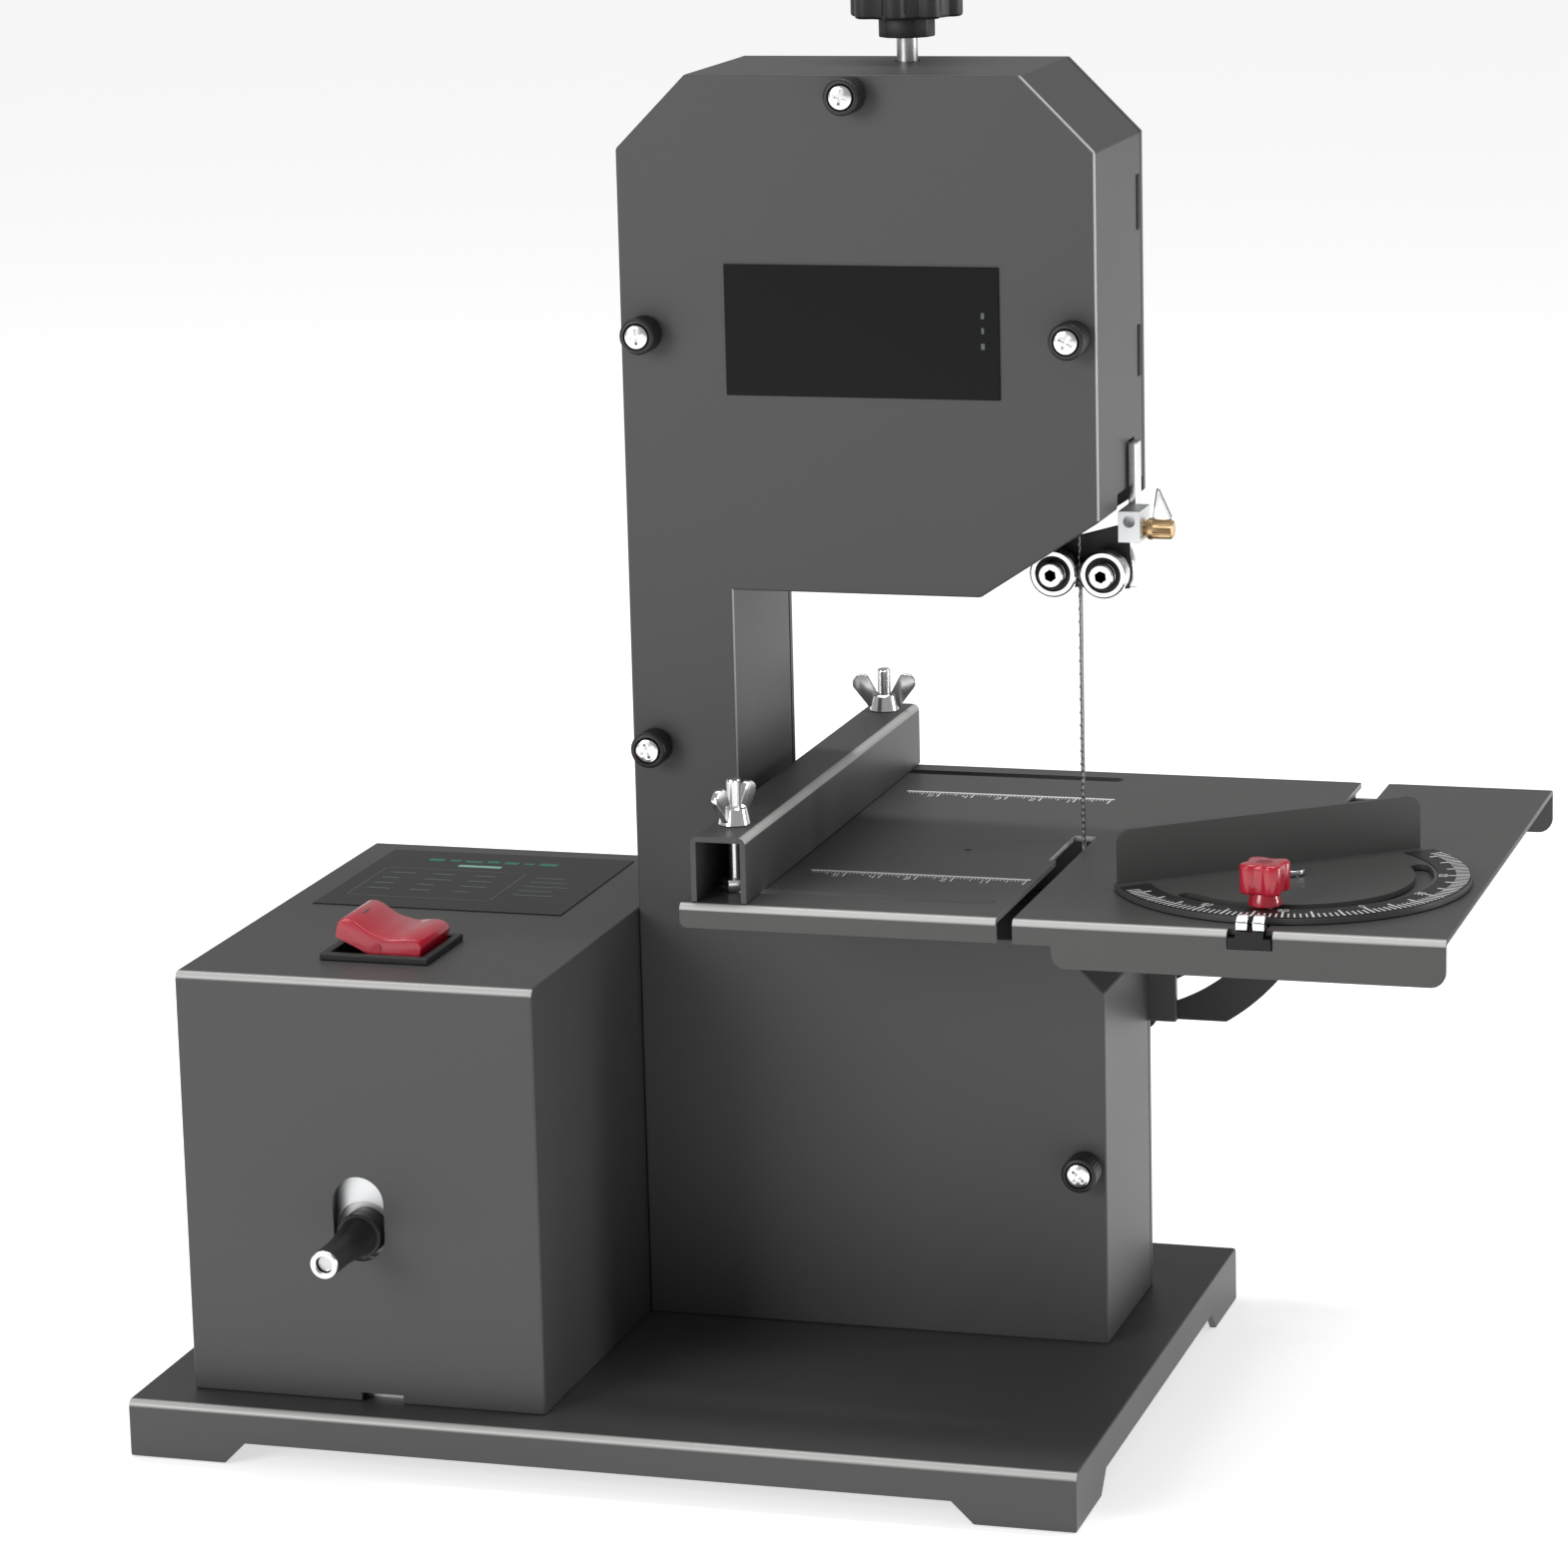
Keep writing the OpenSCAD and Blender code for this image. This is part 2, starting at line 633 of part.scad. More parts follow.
// The table is one sheet with its front and rear edges bent down
slit_x = blade_x - 2;
slit_w = 4.5;
slit_end = 37.2;
module table() {
    x1 = table_x + table_w;
    y1 = table_y + table_d;
    step_x = 117;
    bend = 2;
    deep = 30;
    color([0.38, 0.38, 0.38]) difference() {
        intersection() {
            union() {
                slab([table_x, table_y, sheet_under], [x1, y1, table_z]);
                upright(table_y, table_y + table_t) flange_outline(table_x, step_x + 4, flange_low, 2, 0);
                upright(table_y, table_y + table_t) flange_outline(step_x, x1, flange_h, 4, 4);
                upright(y1 - table_t, y1) flange_outline(table_x, x1, flange_h, 4, 4);
            }
            // round the outside of both bends
            rotate([90, 0, 90]) translate([0, 0, table_x - 1]) linear_extrude(height = table_w + 2)
            union() {
                translate([table_y + bend, table_z - deep]) square([table_d - 2 * bend, deep]);
                translate([table_y, table_z - deep]) square([table_d, deep - bend]);
                for (y = [table_y + bend, y1 - bend])
                    translate([y, table_z - bend]) circle(r = bend);
            }
        }
        slab([slit_x, table_y - 1, table_z - 20], [slit_x + slit_w, slit_end, table_z + 1]);
        slab([slit_x - 2, 8, table_z - 5], [slit_x + 1, slit_end, table_z + 1]);
        // groove for the mitre bar, open at both ends
        slab([mitre_x - 4, table_y - 1, table_z - 3], [mitre_x + 4, y1 + 1, table_z + 1]);
        for (y = [table_y - 1, y1 - table_t - 0.5])
            slab([mitre_x - 6, y, table_z - 5], [mitre_x + 6, y + table_t + 1.5, table_z + 1]);
        for (y = [front_slot_y, rear_slot_y])
            translate([60, y, sheet_under - 1]) linear_extrude(height = 5) obround(2.5, 70.5);
        rod_z([75.6, 15.6, sheet_under - 1], 1.2, 5);
    }
}

// Two printed scales, numbered from the blade, as thin inlays
module table_scales() {
    skin = 0.15;
    color("white") for (y = [-15.4, 82]) translate([0, 0, table_z]) linear_extrude(height = skin) union() {
        translate([slit_x - 62, y]) square([60, 1]);
        for (k = [0 : 59])
            translate([slit_x - 2.15 - k, y - (k % 10 == 0 ? 5 : k % 5 == 0 ? 3.4 : 2)])
                square([0.3, k % 10 == 0 ? 5.1 : k % 5 == 0 ? 3.5 : 2.1]);
    }
}

module mitre_channel() {
    wall = 1.2;
    depth = 5;
    inner = 6;
    color([0.3, 0.3, 0.3]) difference() {
        slab([mitre_x - inner - wall, table_y + table_t + 0.1, table_z - depth - wall],
            [mitre_x + inner + wall, table_y + table_d - table_t - 0.1, sheet_under]);
        slab([mitre_x - inner, table_y, table_z - depth], [mitre_x + inner, table_y + table_d, table_z]);
    }
}

// Trunnion plate behind the housing: its arc slot turns about the blade just under the table top
module quadrant() {
    y0 = house_back + 0.6;
    flat_z = 94.3;
    left = blade_x - 32;
    right = blade_x + 54;
    color([0.16, 0.16, 0.16]) union() {
        upright(y0, y0 + 2) difference() {
            intersection() {
                translate([blade_x, tilt_z]) circle(r = quad_r);
                translate([left, flat_z]) square([right - left, sheet_under - flat_z]);
            }
            translate([blade_x, tilt_z]) arc_slot(quad_slot_r, 3, -111.5, -38);
            translate([slit_x - 3, tilt_z - 12]) square([slit_w + 3, 20]);
        }
        slab([left, y0, sheet_under - 2], [blade_x - 6, y0 + 20, sheet_under]);
        slab([blade_x + 6, y0, sheet_under - 2], [right, y0 + 20, sheet_under]);
    }
}

// An arc-shaped slot about the origin, from angle a0 to a1, with round ends
module arc_slot(r, half, a0, a1) {
    far = 2 * r;
    steps = 6;
    union() {
        intersection() {
            difference() {
                circle(r = r + half);
                circle(r = r - half);
            }
            polygon(concat([[0, 0]], [for (k = [0 : steps])
                far * [cos(a0 + (a1 - a0) * k / steps), sin(a0 + (a1 - a0) * k / steps)]]));
        }
        for (a = [a0, a1])
            translate(r * [cos(a), sin(a)]) circle(r = half);
    }
}

module quadrant_bolts() {
    color("silver") for (a = [-84, -110])
        translate([blade_x + quad_slot_r * cos(a), 0, tilt_z + quad_slot_r * sin(a)]) union() {
            rod_y([0, 53, 0], 2.5, a == -84 ? 21.5 : 13);
            rod_y([0, 53.4, 0], 4.4, house_back - back_t - 53.4);
            rod_y([0, house_back + 2.9, 0], 5, 0.9);
            if (a == -110) rod_y([0, house_back + 3.8, 0], 4.2, 3.2);
        }
}

module tilt_knob() {
    y0 = house_back + 4.1;
    color([0.06, 0.06, 0.06]) translate([blade_x + quad_slot_r * cos(-84), 0,
        tilt_z + quad_slot_r * sin(-84)]) difference() {
        union() {
            rod_y([0, y0, 0], 5, 3);
            upright(y0 + 2.5, y0 + 12) union() {
                circle(r = 8.6);
                for (k = [0 : 5])
                    rotate(60 * k) translate([8, 0]) circle(r = 2.6);
            }
        }
        rod_y([0, y0 - 1, 0], 2.55, 12.2);
    }
}

module fence() {
    x0 = fence_x - fence_w / 2;
    y0 = table_y + 1.8;
    y1 = table_y + table_d - 1;
    wall = 1.5;
    bend = 2;
    rise = table_z + gap;
    top = table_z + fence_h;
    color([0.32, 0.32, 0.32]) difference() {
        upright(y0, y1) difference() {
            union() {
                translate([x0, rise]) square([fence_w, top - rise - bend]);
                translate([x0 + bend, rise]) square([fence_w - 2 * bend, top - rise]);
                for (x = [x0 + bend, x0 + fence_w - bend])
                    translate([x, top - bend]) circle(r = bend);
            }
            translate([x0 + wall, rise - 1]) square([fence_w - 2 * wall, top - rise - wall + 1]);
        }
        for (y = [front_slot_y, rear_slot_y])
            rod_z([fence_x, y, top - 5], 2, 8);
    }
}

module fence_bolts() {
    color("silver") for (y = [front_slot_y, rear_slot_y]) translate([fence_x, y, 0]) union() {
        rod_z([0, 0, sheet_under - 2.8], 2, 182.4 - sheet_under + 2.8);
        rod_z([0, 0, sheet_under - 2.8], 4.2, 2.5);
        translate([0, 0, table_z + gap]) cylinder(r = 4, h = 3.2, $fn = 6);
    }
}

// A wing nut on a vertical bolt, with its wings along direction turn
module wing_nut(y, turn) {
    z0 = table_z + fence_h;
    color("silver") translate([fence_x, y, z0]) rotate(turn) difference() {
        union() {
            cylinder(r1 = 4.3, r2 = 3.4, h = 4.6);
            for (s = [-1, 1])
                translate([s * 3.1, 0, 2]) rotate([0, s * 33, 0]) translate([0, 0, 4.6])
                    rotate([90, 0, 0]) translate([0, 0, -0.85]) linear_extrude(height = 1.7) union() {
                        translate([0, 2.4]) circle(r = 2.7);
                        translate([-2.3, -5.2]) square([4.6, 8]);
                    }
        }
        translate([0, 0, -1]) cylinder(r = 2.05, h = 16);
    }
}

module wing_nut_front() { wing_nut(front_slot_y, 72); }
module wing_nut_rear() { wing_nut(rear_slot_y, 12); }

module mitre_bar() {
    y0 = table_y - 0.6;
    y1 = 45;
    color([0.7, 0.71, 0.72]) difference() {
        union() {
            slab([mitre_x - 5.7, y0, table_z - 4.7], [mitre_x + 5.7, y1, sheet_under - gap]);
            slab([mitre_x - 3.7, y0, sheet_under - gap], [mitre_x + 3.7, y1, table_z - 0.1]);
        }
        rod_z([mitre_x, mitre_y - 35.1, table_z - 6], 2.05, 8);
        rod_z([mitre_x, mitre_y, table_z - 6], 2, 8);
    }
}

module mitre_pointer() {
    y0 = table_y + 0.4;
    color([0.78, 0.78, 0.8]) for (s = [-1, 1]) translate([mitre_x + s * 2.2, 0, 0])
        rotate([90, 0, 90]) translate([0, 0, -1.6]) linear_extrude(height = 3.2)
            polygon([[y0, table_z - 0.1], [y0 + 3.4, table_z - 0.1], [y0 + 3.4, table_z + 3.7],
                [y0 + 2.2, table_z + 3.7], [y0, table_z + 2.2]]);
}

module mitre_pin() {
    color("silver") union() {
        rod_z([mitre_x, mitre_y, table_z - 4.5], 2, 7);
        rod_z([mitre_x, mitre_y, table_z + 2.1], 3.4, 1.5);
    }
}

// The protractor: a part disc on the table, bent up along its chord into the work face
module mitre_plate() {
    sheet = 1.5;
    face_y = 13.6;
    face_l = 90;
    face_h = 16;
    round_r = 4;
    color([0.34, 0.34, 0.34]) translate([mitre_x, mitre_y, table_z + gap]) rotate(mitre_set) union() {
        linear_extrude(height = sheet) difference() {
            intersection() {
                circle(r = mitre_r);
                translate([-60, -60]) square([120, 60 + face_y]);
            }
            arc_slot(35.1, 2.5, -168, -12);
            circle(r = 2.05);
        }
        upright(face_y - sheet, face_y) union() {
            translate([-face_l / 2, 0]) square([face_l, face_h - round_r]);
            translate([-face_l / 2 + round_r, 0]) square([face_l - 2 * round_r, face_h]);
            for (s = [-1, 1])
                translate([s * (face_l / 2 - round_r), face_h - round_r]) circle(r = round_r);
        }
    }
}

module mitre_scale() {
    color([0.05, 0.05, 0.05]) translate([mitre_x, mitre_y, table_z + gap + 1.5]) rotate(mitre_set)
    linear_extrude(height = 0.25) intersection() {
        difference() {
            circle(r = mitre_r - 0.4);
            circle(r = 38.6);
        }
        translate([-60, -60]) square([120, 60 + 8]);
    }
}

module mitre_knob() {
    color([0.75, 0.05, 0.1]) translate([mitre_x, mitre_y - 35.1, 0]) union() {
        rod_z([0, 0, table_z - 4.5], 2, 8);
        rod_z([0, 0, table_z + 2.2], 4.4, 4);
        translate([0, 0, table_z + 5.8]) linear_extrude(height = 8) union() {
            circle(r = 5);
            for (k = [0 : 3])
                rotate(90 * k + 35) translate([4.2, 0]) circle(r = 2.7);
        }
    }
}

base_plate();
motor_cover();
rear_panel();
panel_screws();
motor_mount();
motor_body();
motor_shaft();
spindle_sleeve();
drive_pulley();
drive_belt();
driven_pulley();
lower_shaft();
lower_wheel();
lower_tyre();
bearing_block();
back_frame();
front_cover();
standoffs();
thumb_screws();
thumb_collars();
front_panel();
tension_block();
upper_axle();
upper_wheel();
upper_tyre();
tension_rails();
tension_screw();
tension_knob();
blade();
guide_post();
guide_block();
guide_arm();
bearing_bolts();
thrust_pin();
guide_bearing_left();
guide_bearing_right();
lock_screw();
lock_bail();
table();
table_scales();
mitre_channel();
quadrant();
quadrant_bolts();
tilt_knob();
fence();
fence_bolts();
wing_nut_front();
wing_nut_rear();
mitre_bar();
mitre_pointer();
mitre_pin();
mitre_plate();
mitre_scale();
mitre_knob();
switch_bezel();
rocker();
control_label();
power_inlet();
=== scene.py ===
# %% [markdown]
# # A bench band saw, from its frame to its finish
# The saw is folded sheet steel: a tray for a base, a box for the motor and a C-shaped housing for
# two wheels and a narrow blade. The working model comes in first and stays where it is. Everything
# after that is about how it looks: soft bends, printed scales, knurls, and paint that catches light.

# %% Load the frame
import json
import math

import bmesh
import bpy
from mathutils import Euler, Matrix, Vector


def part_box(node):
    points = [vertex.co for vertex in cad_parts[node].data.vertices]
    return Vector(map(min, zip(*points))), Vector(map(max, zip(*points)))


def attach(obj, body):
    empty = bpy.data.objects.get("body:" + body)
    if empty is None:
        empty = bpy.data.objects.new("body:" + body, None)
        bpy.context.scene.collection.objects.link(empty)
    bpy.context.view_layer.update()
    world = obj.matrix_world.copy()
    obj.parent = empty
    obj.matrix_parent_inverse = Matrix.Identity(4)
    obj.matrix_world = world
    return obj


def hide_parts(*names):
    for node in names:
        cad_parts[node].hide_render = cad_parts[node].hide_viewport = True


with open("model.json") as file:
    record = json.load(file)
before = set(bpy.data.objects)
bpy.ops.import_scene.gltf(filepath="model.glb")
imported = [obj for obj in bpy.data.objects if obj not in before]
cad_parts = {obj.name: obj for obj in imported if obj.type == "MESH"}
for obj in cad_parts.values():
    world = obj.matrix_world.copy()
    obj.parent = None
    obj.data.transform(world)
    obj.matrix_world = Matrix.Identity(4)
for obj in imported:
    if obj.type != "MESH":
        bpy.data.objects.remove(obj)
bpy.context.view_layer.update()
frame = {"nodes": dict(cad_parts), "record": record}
nodes = frame["nodes"]
MM = 0.001
body_of_node = {}
for body_name, members in frame["record"]["behaviour"]["bodies"].items():
    for member in members:
        body_of_node[member] = body_name


# %% [markdown]
# The camera is a long lens a little above the table and to the right. A long lens keeps upright
# edges nearly parallel, which is how a small machine is usually shown. It is made first, so that
# every later look is through it. The roll is under two degrees, as if it were held by hand.

# %% Camera
LENS_MM = 123.7
CAMERA_AT = Vector((0.4484, -1.3723, 0.4962))
CAMERA_YAW = math.radians(17.03)
CAMERA_PITCH = math.radians(-12.74)
CAMERA_ROLL = math.radians(-1.43)


def make_camera():
    data = bpy.data.cameras.new("camera")
    data.lens = LENS_MM
    data.sensor_width = 36.0
    data.clip_end = 20.0
    camera = bpy.data.objects.new("camera", data)
    bpy.context.scene.collection.objects.link(camera)
    level = Euler((math.pi / 2 + CAMERA_PITCH, 0.0, CAMERA_YAW), "XYZ").to_matrix()
    turned = level @ Matrix.Rotation(CAMERA_ROLL, 3, "Z")
    camera.matrix_world = Matrix.Translation(CAMERA_AT) @ turned.to_4x4()
    bpy.context.scene.camera = camera


make_camera()

# %% [markdown]
# A catalogue picture is white all round, yet the paint needs something narrow and bright to
# reflect, or its folds disappear. So there are two long strips: one overhead, which every
# front-to-top fold finds somewhere along its curve, and one standing behind the right shoulder,
# which draws the upright folds. A soft box at the front left fills the faces. The sky itself is
# dim, so that walls turned away from all three stay dark, and the floor glows a little to stay
# pale. The view transform is the plain one, which leaves white as white.

# %% Studio
SKY_SEEN, SKY_LIGHT = 1.0, 0.34
FLOOR_GLOW = 0.62


def area_light(name, place, target, size, watts):
    data = bpy.data.lights.new(name, "AREA")
    data.shape = "RECTANGLE"
    data.size, data.size_y = size
    data.energy = watts
    lamp = bpy.data.objects.new(name, data)
    bpy.context.scene.collection.objects.link(lamp)
    lamp.location = place
    aim = Vector(target) - Vector(place)
    lamp.rotation_euler = aim.to_track_quat("-Z", "Y").to_euler()


def make_sky():
    world = bpy.data.worlds.new("sky")
    bpy.context.scene.world = world
    world.use_nodes = True
    tree = world.node_tree
    background = tree.nodes["Background"]
    seen = tree.nodes.new("ShaderNodeLightPath").outputs["Is Camera Ray"]
    strength = tree.nodes.new("ShaderNodeMapRange")
    strength.inputs["To Min"].default_value = SKY_LIGHT
    strength.inputs["To Max"].default_value = SKY_SEEN
    tree.links.new(seen, strength.inputs["Value"])
    tree.links.new(strength.outputs["Result"], background.inputs["Strength"])
    background.inputs["Color"].default_value = (1.0, 1.0, 1.0, 1.0)


def make_floor():
    pale = bpy.data.materials.new("studio_floor")
    pale.use_nodes = True
    shader = pale.node_tree.nodes["Principled BSDF"]
    shader.inputs["Base Color"].default_value = (0.86, 0.86, 0.86, 1.0)
    shader.inputs["Roughness"].default_value = 0.9
    shader.inputs["Emission Color"].default_value = (1.0, 1.0, 1.0, 1.0)
    shader.inputs["Emission Strength"].default_value = FLOOR_GLOW
    bm = bmesh.new()
    bmesh.ops.create_grid(bm, x_segments=1, y_segments=1, size=6.0)
    bmesh.ops.translate(bm, verts=bm.verts, vec=(0.0, 0.0, -0.0004))
    mesh = bpy.data.meshes.new("floor")
    bm.to_mesh(mesh)
    bm.free()
    mesh.materials.append(pale)
    floor = bpy.data.objects.new("floor", mesh)
    bpy.context.scene.collection.objects.link(floor)


def make_studio():
    bpy.context.scene.view_settings.view_transform = "Standard"
    middle = (0.02, 0.0, 0.18)
    area_light("overhead_strip", (0.05, 0.25, 1.6), middle, (1.8, 0.14), 13.0)
    area_light("right_strip", (1.5, 0.42, 0.14), middle, (0.2, 0.8), 9.0)
    area_light("front_box", (-1.1, -2.0, 0.9), middle, (1.0, 1.0), 22.0)
    make_sky()
    make_floor()


make_studio()

# %% [markdown]
# ## Finishes
# Powder coat is not smooth. It has a fine orange peel. Several finishes share that kind of detail,
# so two node groups hold it: `grain` breaks up colour and roughness and gives a bump height, and
# `brush` draws the long parallel scratches of drawn or machined metal. Both also take a mask
# that paints a lighter, smoother highlight onto chosen folds of the coat, standing in for light
# on them. Each material places them with its own values.


# %% Node groups for grain and brushing
def new_group(name, sockets_in, sockets_out):
    group = bpy.data.node_groups.new(name, "ShaderNodeTree")
    for label, kind, value in sockets_in:
        socket = group.interface.new_socket(label, in_out="INPUT", socket_type=kind)
        socket.default_value = value
    for label, kind in sockets_out:
        group.interface.new_socket(label, in_out="OUTPUT", socket_type=kind)
    return group, group.nodes.new("NodeGroupInput"), group.nodes.new("NodeGroupOutput")


def ramp_between(group, value, low, high):
    """A value from 0 to 1 stretched to run from low to high."""
    node = group.nodes.new("ShaderNodeMapRange")
    group.links.new(value, node.inputs["Value"])
    for socket, source in (("To Min", low), ("To Max", high)):
        if isinstance(source, float):
            node.inputs[socket].default_value = source
        else:
            group.links.new(source, node.inputs[socket])
    return node.outputs["Result"]


def build_detail_group(name, stretch):
    """Colour, roughness and height that vary over a surface, stretched along one axis."""
    group, given, out = new_group(
        name,
        [
            ("Color", "NodeSocketColor", (0.1, 0.1, 0.1, 1.0)),
            ("Variation", "NodeSocketFloat", 0.1),
            ("Scale", "NodeSocketFloat", 900.0),
            ("Rough Low", "NodeSocketFloat", 0.3),
            ("Rough High", "NodeSocketFloat", 0.45),
            ("Turn", "NodeSocketVector", (0.0, 0.0, 0.0)),
            ("Painted Highlight", "NodeSocketFloat", 0.0),
            ("Painted Highlight Color", "NodeSocketColor", (0.5, 0.5, 0.5, 1.0)),
            ("Painted Highlight Rough", "NodeSocketFloat", 0.25),
        ],
        [("Color", "NodeSocketColor"), ("Roughness", "NodeSocketFloat"), ("Height", "NodeSocketFloat")],
    )
    place = group.nodes.new("ShaderNodeTexCoord")
    turned = group.nodes.new("ShaderNodeVectorRotate")
    turned.rotation_type = "EULER_XYZ"
    group.links.new(place.outputs["Object"], turned.inputs["Vector"])
    group.links.new(given.outputs["Turn"], turned.inputs["Rotation"])
    mapping = group.nodes.new("ShaderNodeMapping")
    mapping.inputs["Scale"].default_value = stretch
    group.links.new(turned.outputs["Vector"], mapping.inputs["Vector"])
    fine = group.nodes.new("ShaderNodeTexNoise")
    fine.inputs["Detail"].default_value = 3.0
    group.links.new(mapping.outputs["Vector"], fine.inputs["Vector"])
    group.links.new(given.outputs["Scale"], fine.inputs["Scale"])
    broad = group.nodes.new("ShaderNodeTexNoise")
    broad.inputs["Scale"].default_value = 14.0
    broad.inputs["Detail"].default_value = 4.0
    group.links.new(place.outputs["Object"], broad.inputs["Vector"])
    mixed = group.nodes.new("ShaderNodeMath")
    mixed.operation = "MULTIPLY_ADD"
    mixed.inputs[1].default_value = 0.6
    group.links.new(fine.outputs["Fac"], mixed.inputs[0])
    group.links.new(broad.outputs["Fac"], mixed.inputs[2])
    shade = group.nodes.new("ShaderNodeMath")
    shade.operation = "SUBTRACT"
    shade.inputs[1].default_value = 0.8
    group.links.new(mixed.outputs[0], shade.inputs[0])
    scaled = group.nodes.new("ShaderNodeMath")
    scaled.operation = "MULTIPLY_ADD"
    scaled.inputs[2].default_value = 1.0
    group.links.new(shade.outputs[0], scaled.inputs[0])
    group.links.new(given.outputs["Variation"], scaled.inputs[1])
    tint = group.nodes.new("ShaderNodeVectorMath")
    tint.operation = "SCALE"
    group.links.new(given.outputs["Color"], tint.inputs[0])
    group.links.new(scaled.outputs[0], tint.inputs["Scale"])
    rough = ramp_between(group, mixed.outputs[0], given.outputs["Rough Low"], given.outputs["Rough High"])
    # Painted highlight: where the mask is 1, the colour and roughness give way to a lighter, smoother paint
    # that stands in for light on a fold.
    highlight_color_mix = group.nodes.new("ShaderNodeMix")
    highlight_color_mix.data_type = "RGBA"
    group.links.new(given.outputs["Painted Highlight"], highlight_color_mix.inputs["Factor"])
    group.links.new(tint.outputs["Vector"], highlight_color_mix.inputs["A"])
    group.links.new(given.outputs["Painted Highlight Color"], highlight_color_mix.inputs["B"])
    highlight_rough_mix = group.nodes.new("ShaderNodeMix")
    group.links.new(given.outputs["Painted Highlight"], highlight_rough_mix.inputs["Factor"])
    group.links.new(rough, highlight_rough_mix.inputs["A"])
    group.links.new(given.outputs["Painted Highlight Rough"], highlight_rough_mix.inputs["B"])
    group.links.new(highlight_color_mix.outputs["Result"], out.inputs["Color"])
    group.links.new(highlight_rough_mix.outputs["Result"], out.inputs["Roughness"])
    group.links.new(fine.outputs["Fac"], out.inputs["Height"])
    return group


GRAIN = build_detail_group("grain", (1.0, 1.0, 1.0))
BRUSH = build_detail_group("brush", (0.04, 1.0, 1.0))


# %% [markdown]
# One function makes every finish. The numbers that are the same all over a surface go straight on
# the shader, and only what changes over the surface comes through the group.

# %% One function for every finish
PAINTED_HIGHLIGHT = "painted_highlight"


def finish(name, color, group=GRAIN, variation=0.15, scale=900.0, rough=(0.3, 0.45), bump=0.1,
           depth=0.00005, turn=(0.0, 0.0, 0.0), painted_highlight_color=None, **shader):
    material = bpy.data.materials.new(name)
    material.use_nodes = True
    tree = material.node_tree
    bsdf = tree.nodes["Principled BSDF"]
    detail = tree.nodes.new("ShaderNodeGroup")
    detail.node_tree = group
    detail.inputs["Color"].default_value = (*color, 1.0)
    detail.inputs["Variation"].default_value = variation
    detail.inputs["Scale"].default_value = scale
    detail.inputs["Rough Low"].default_value, detail.inputs["Rough High"].default_value = rough
    detail.inputs["Turn"].default_value = turn
    # The painted highlight: a light colour laid on chosen folds through a mesh attribute, in place of light
    # on them.
    if painted_highlight_color:
        highlight_mask = tree.nodes.new("ShaderNodeAttribute")
        highlight_mask.attribute_name = PAINTED_HIGHLIGHT
        detail.inputs["Painted Highlight Color"].default_value = (*painted_highlight_color, 1.0)
        tree.links.new(highlight_mask.outputs["Fac"], detail.inputs["Painted Highlight"])
    tree.links.new(detail.outputs["Color"], bsdf.inputs["Base Color"])
    tree.links.new(detail.outputs["Roughness"], bsdf.inputs["Roughness"])
    if bump:
        bumps = tree.nodes.new("ShaderNodeBump")
        bumps.inputs["Strength"].default_value = bump
        bumps.inputs["Distance"].default_value = depth
        tree.links.new(detail.outputs["Height"], bumps.inputs["Height"])
        tree.links.new(bumps.outputs["Normal"], bsdf.inputs["Normal"])
    for label, value in shader.items():
        bsdf.inputs[label.replace("_", " ")].default_value = value
    return material


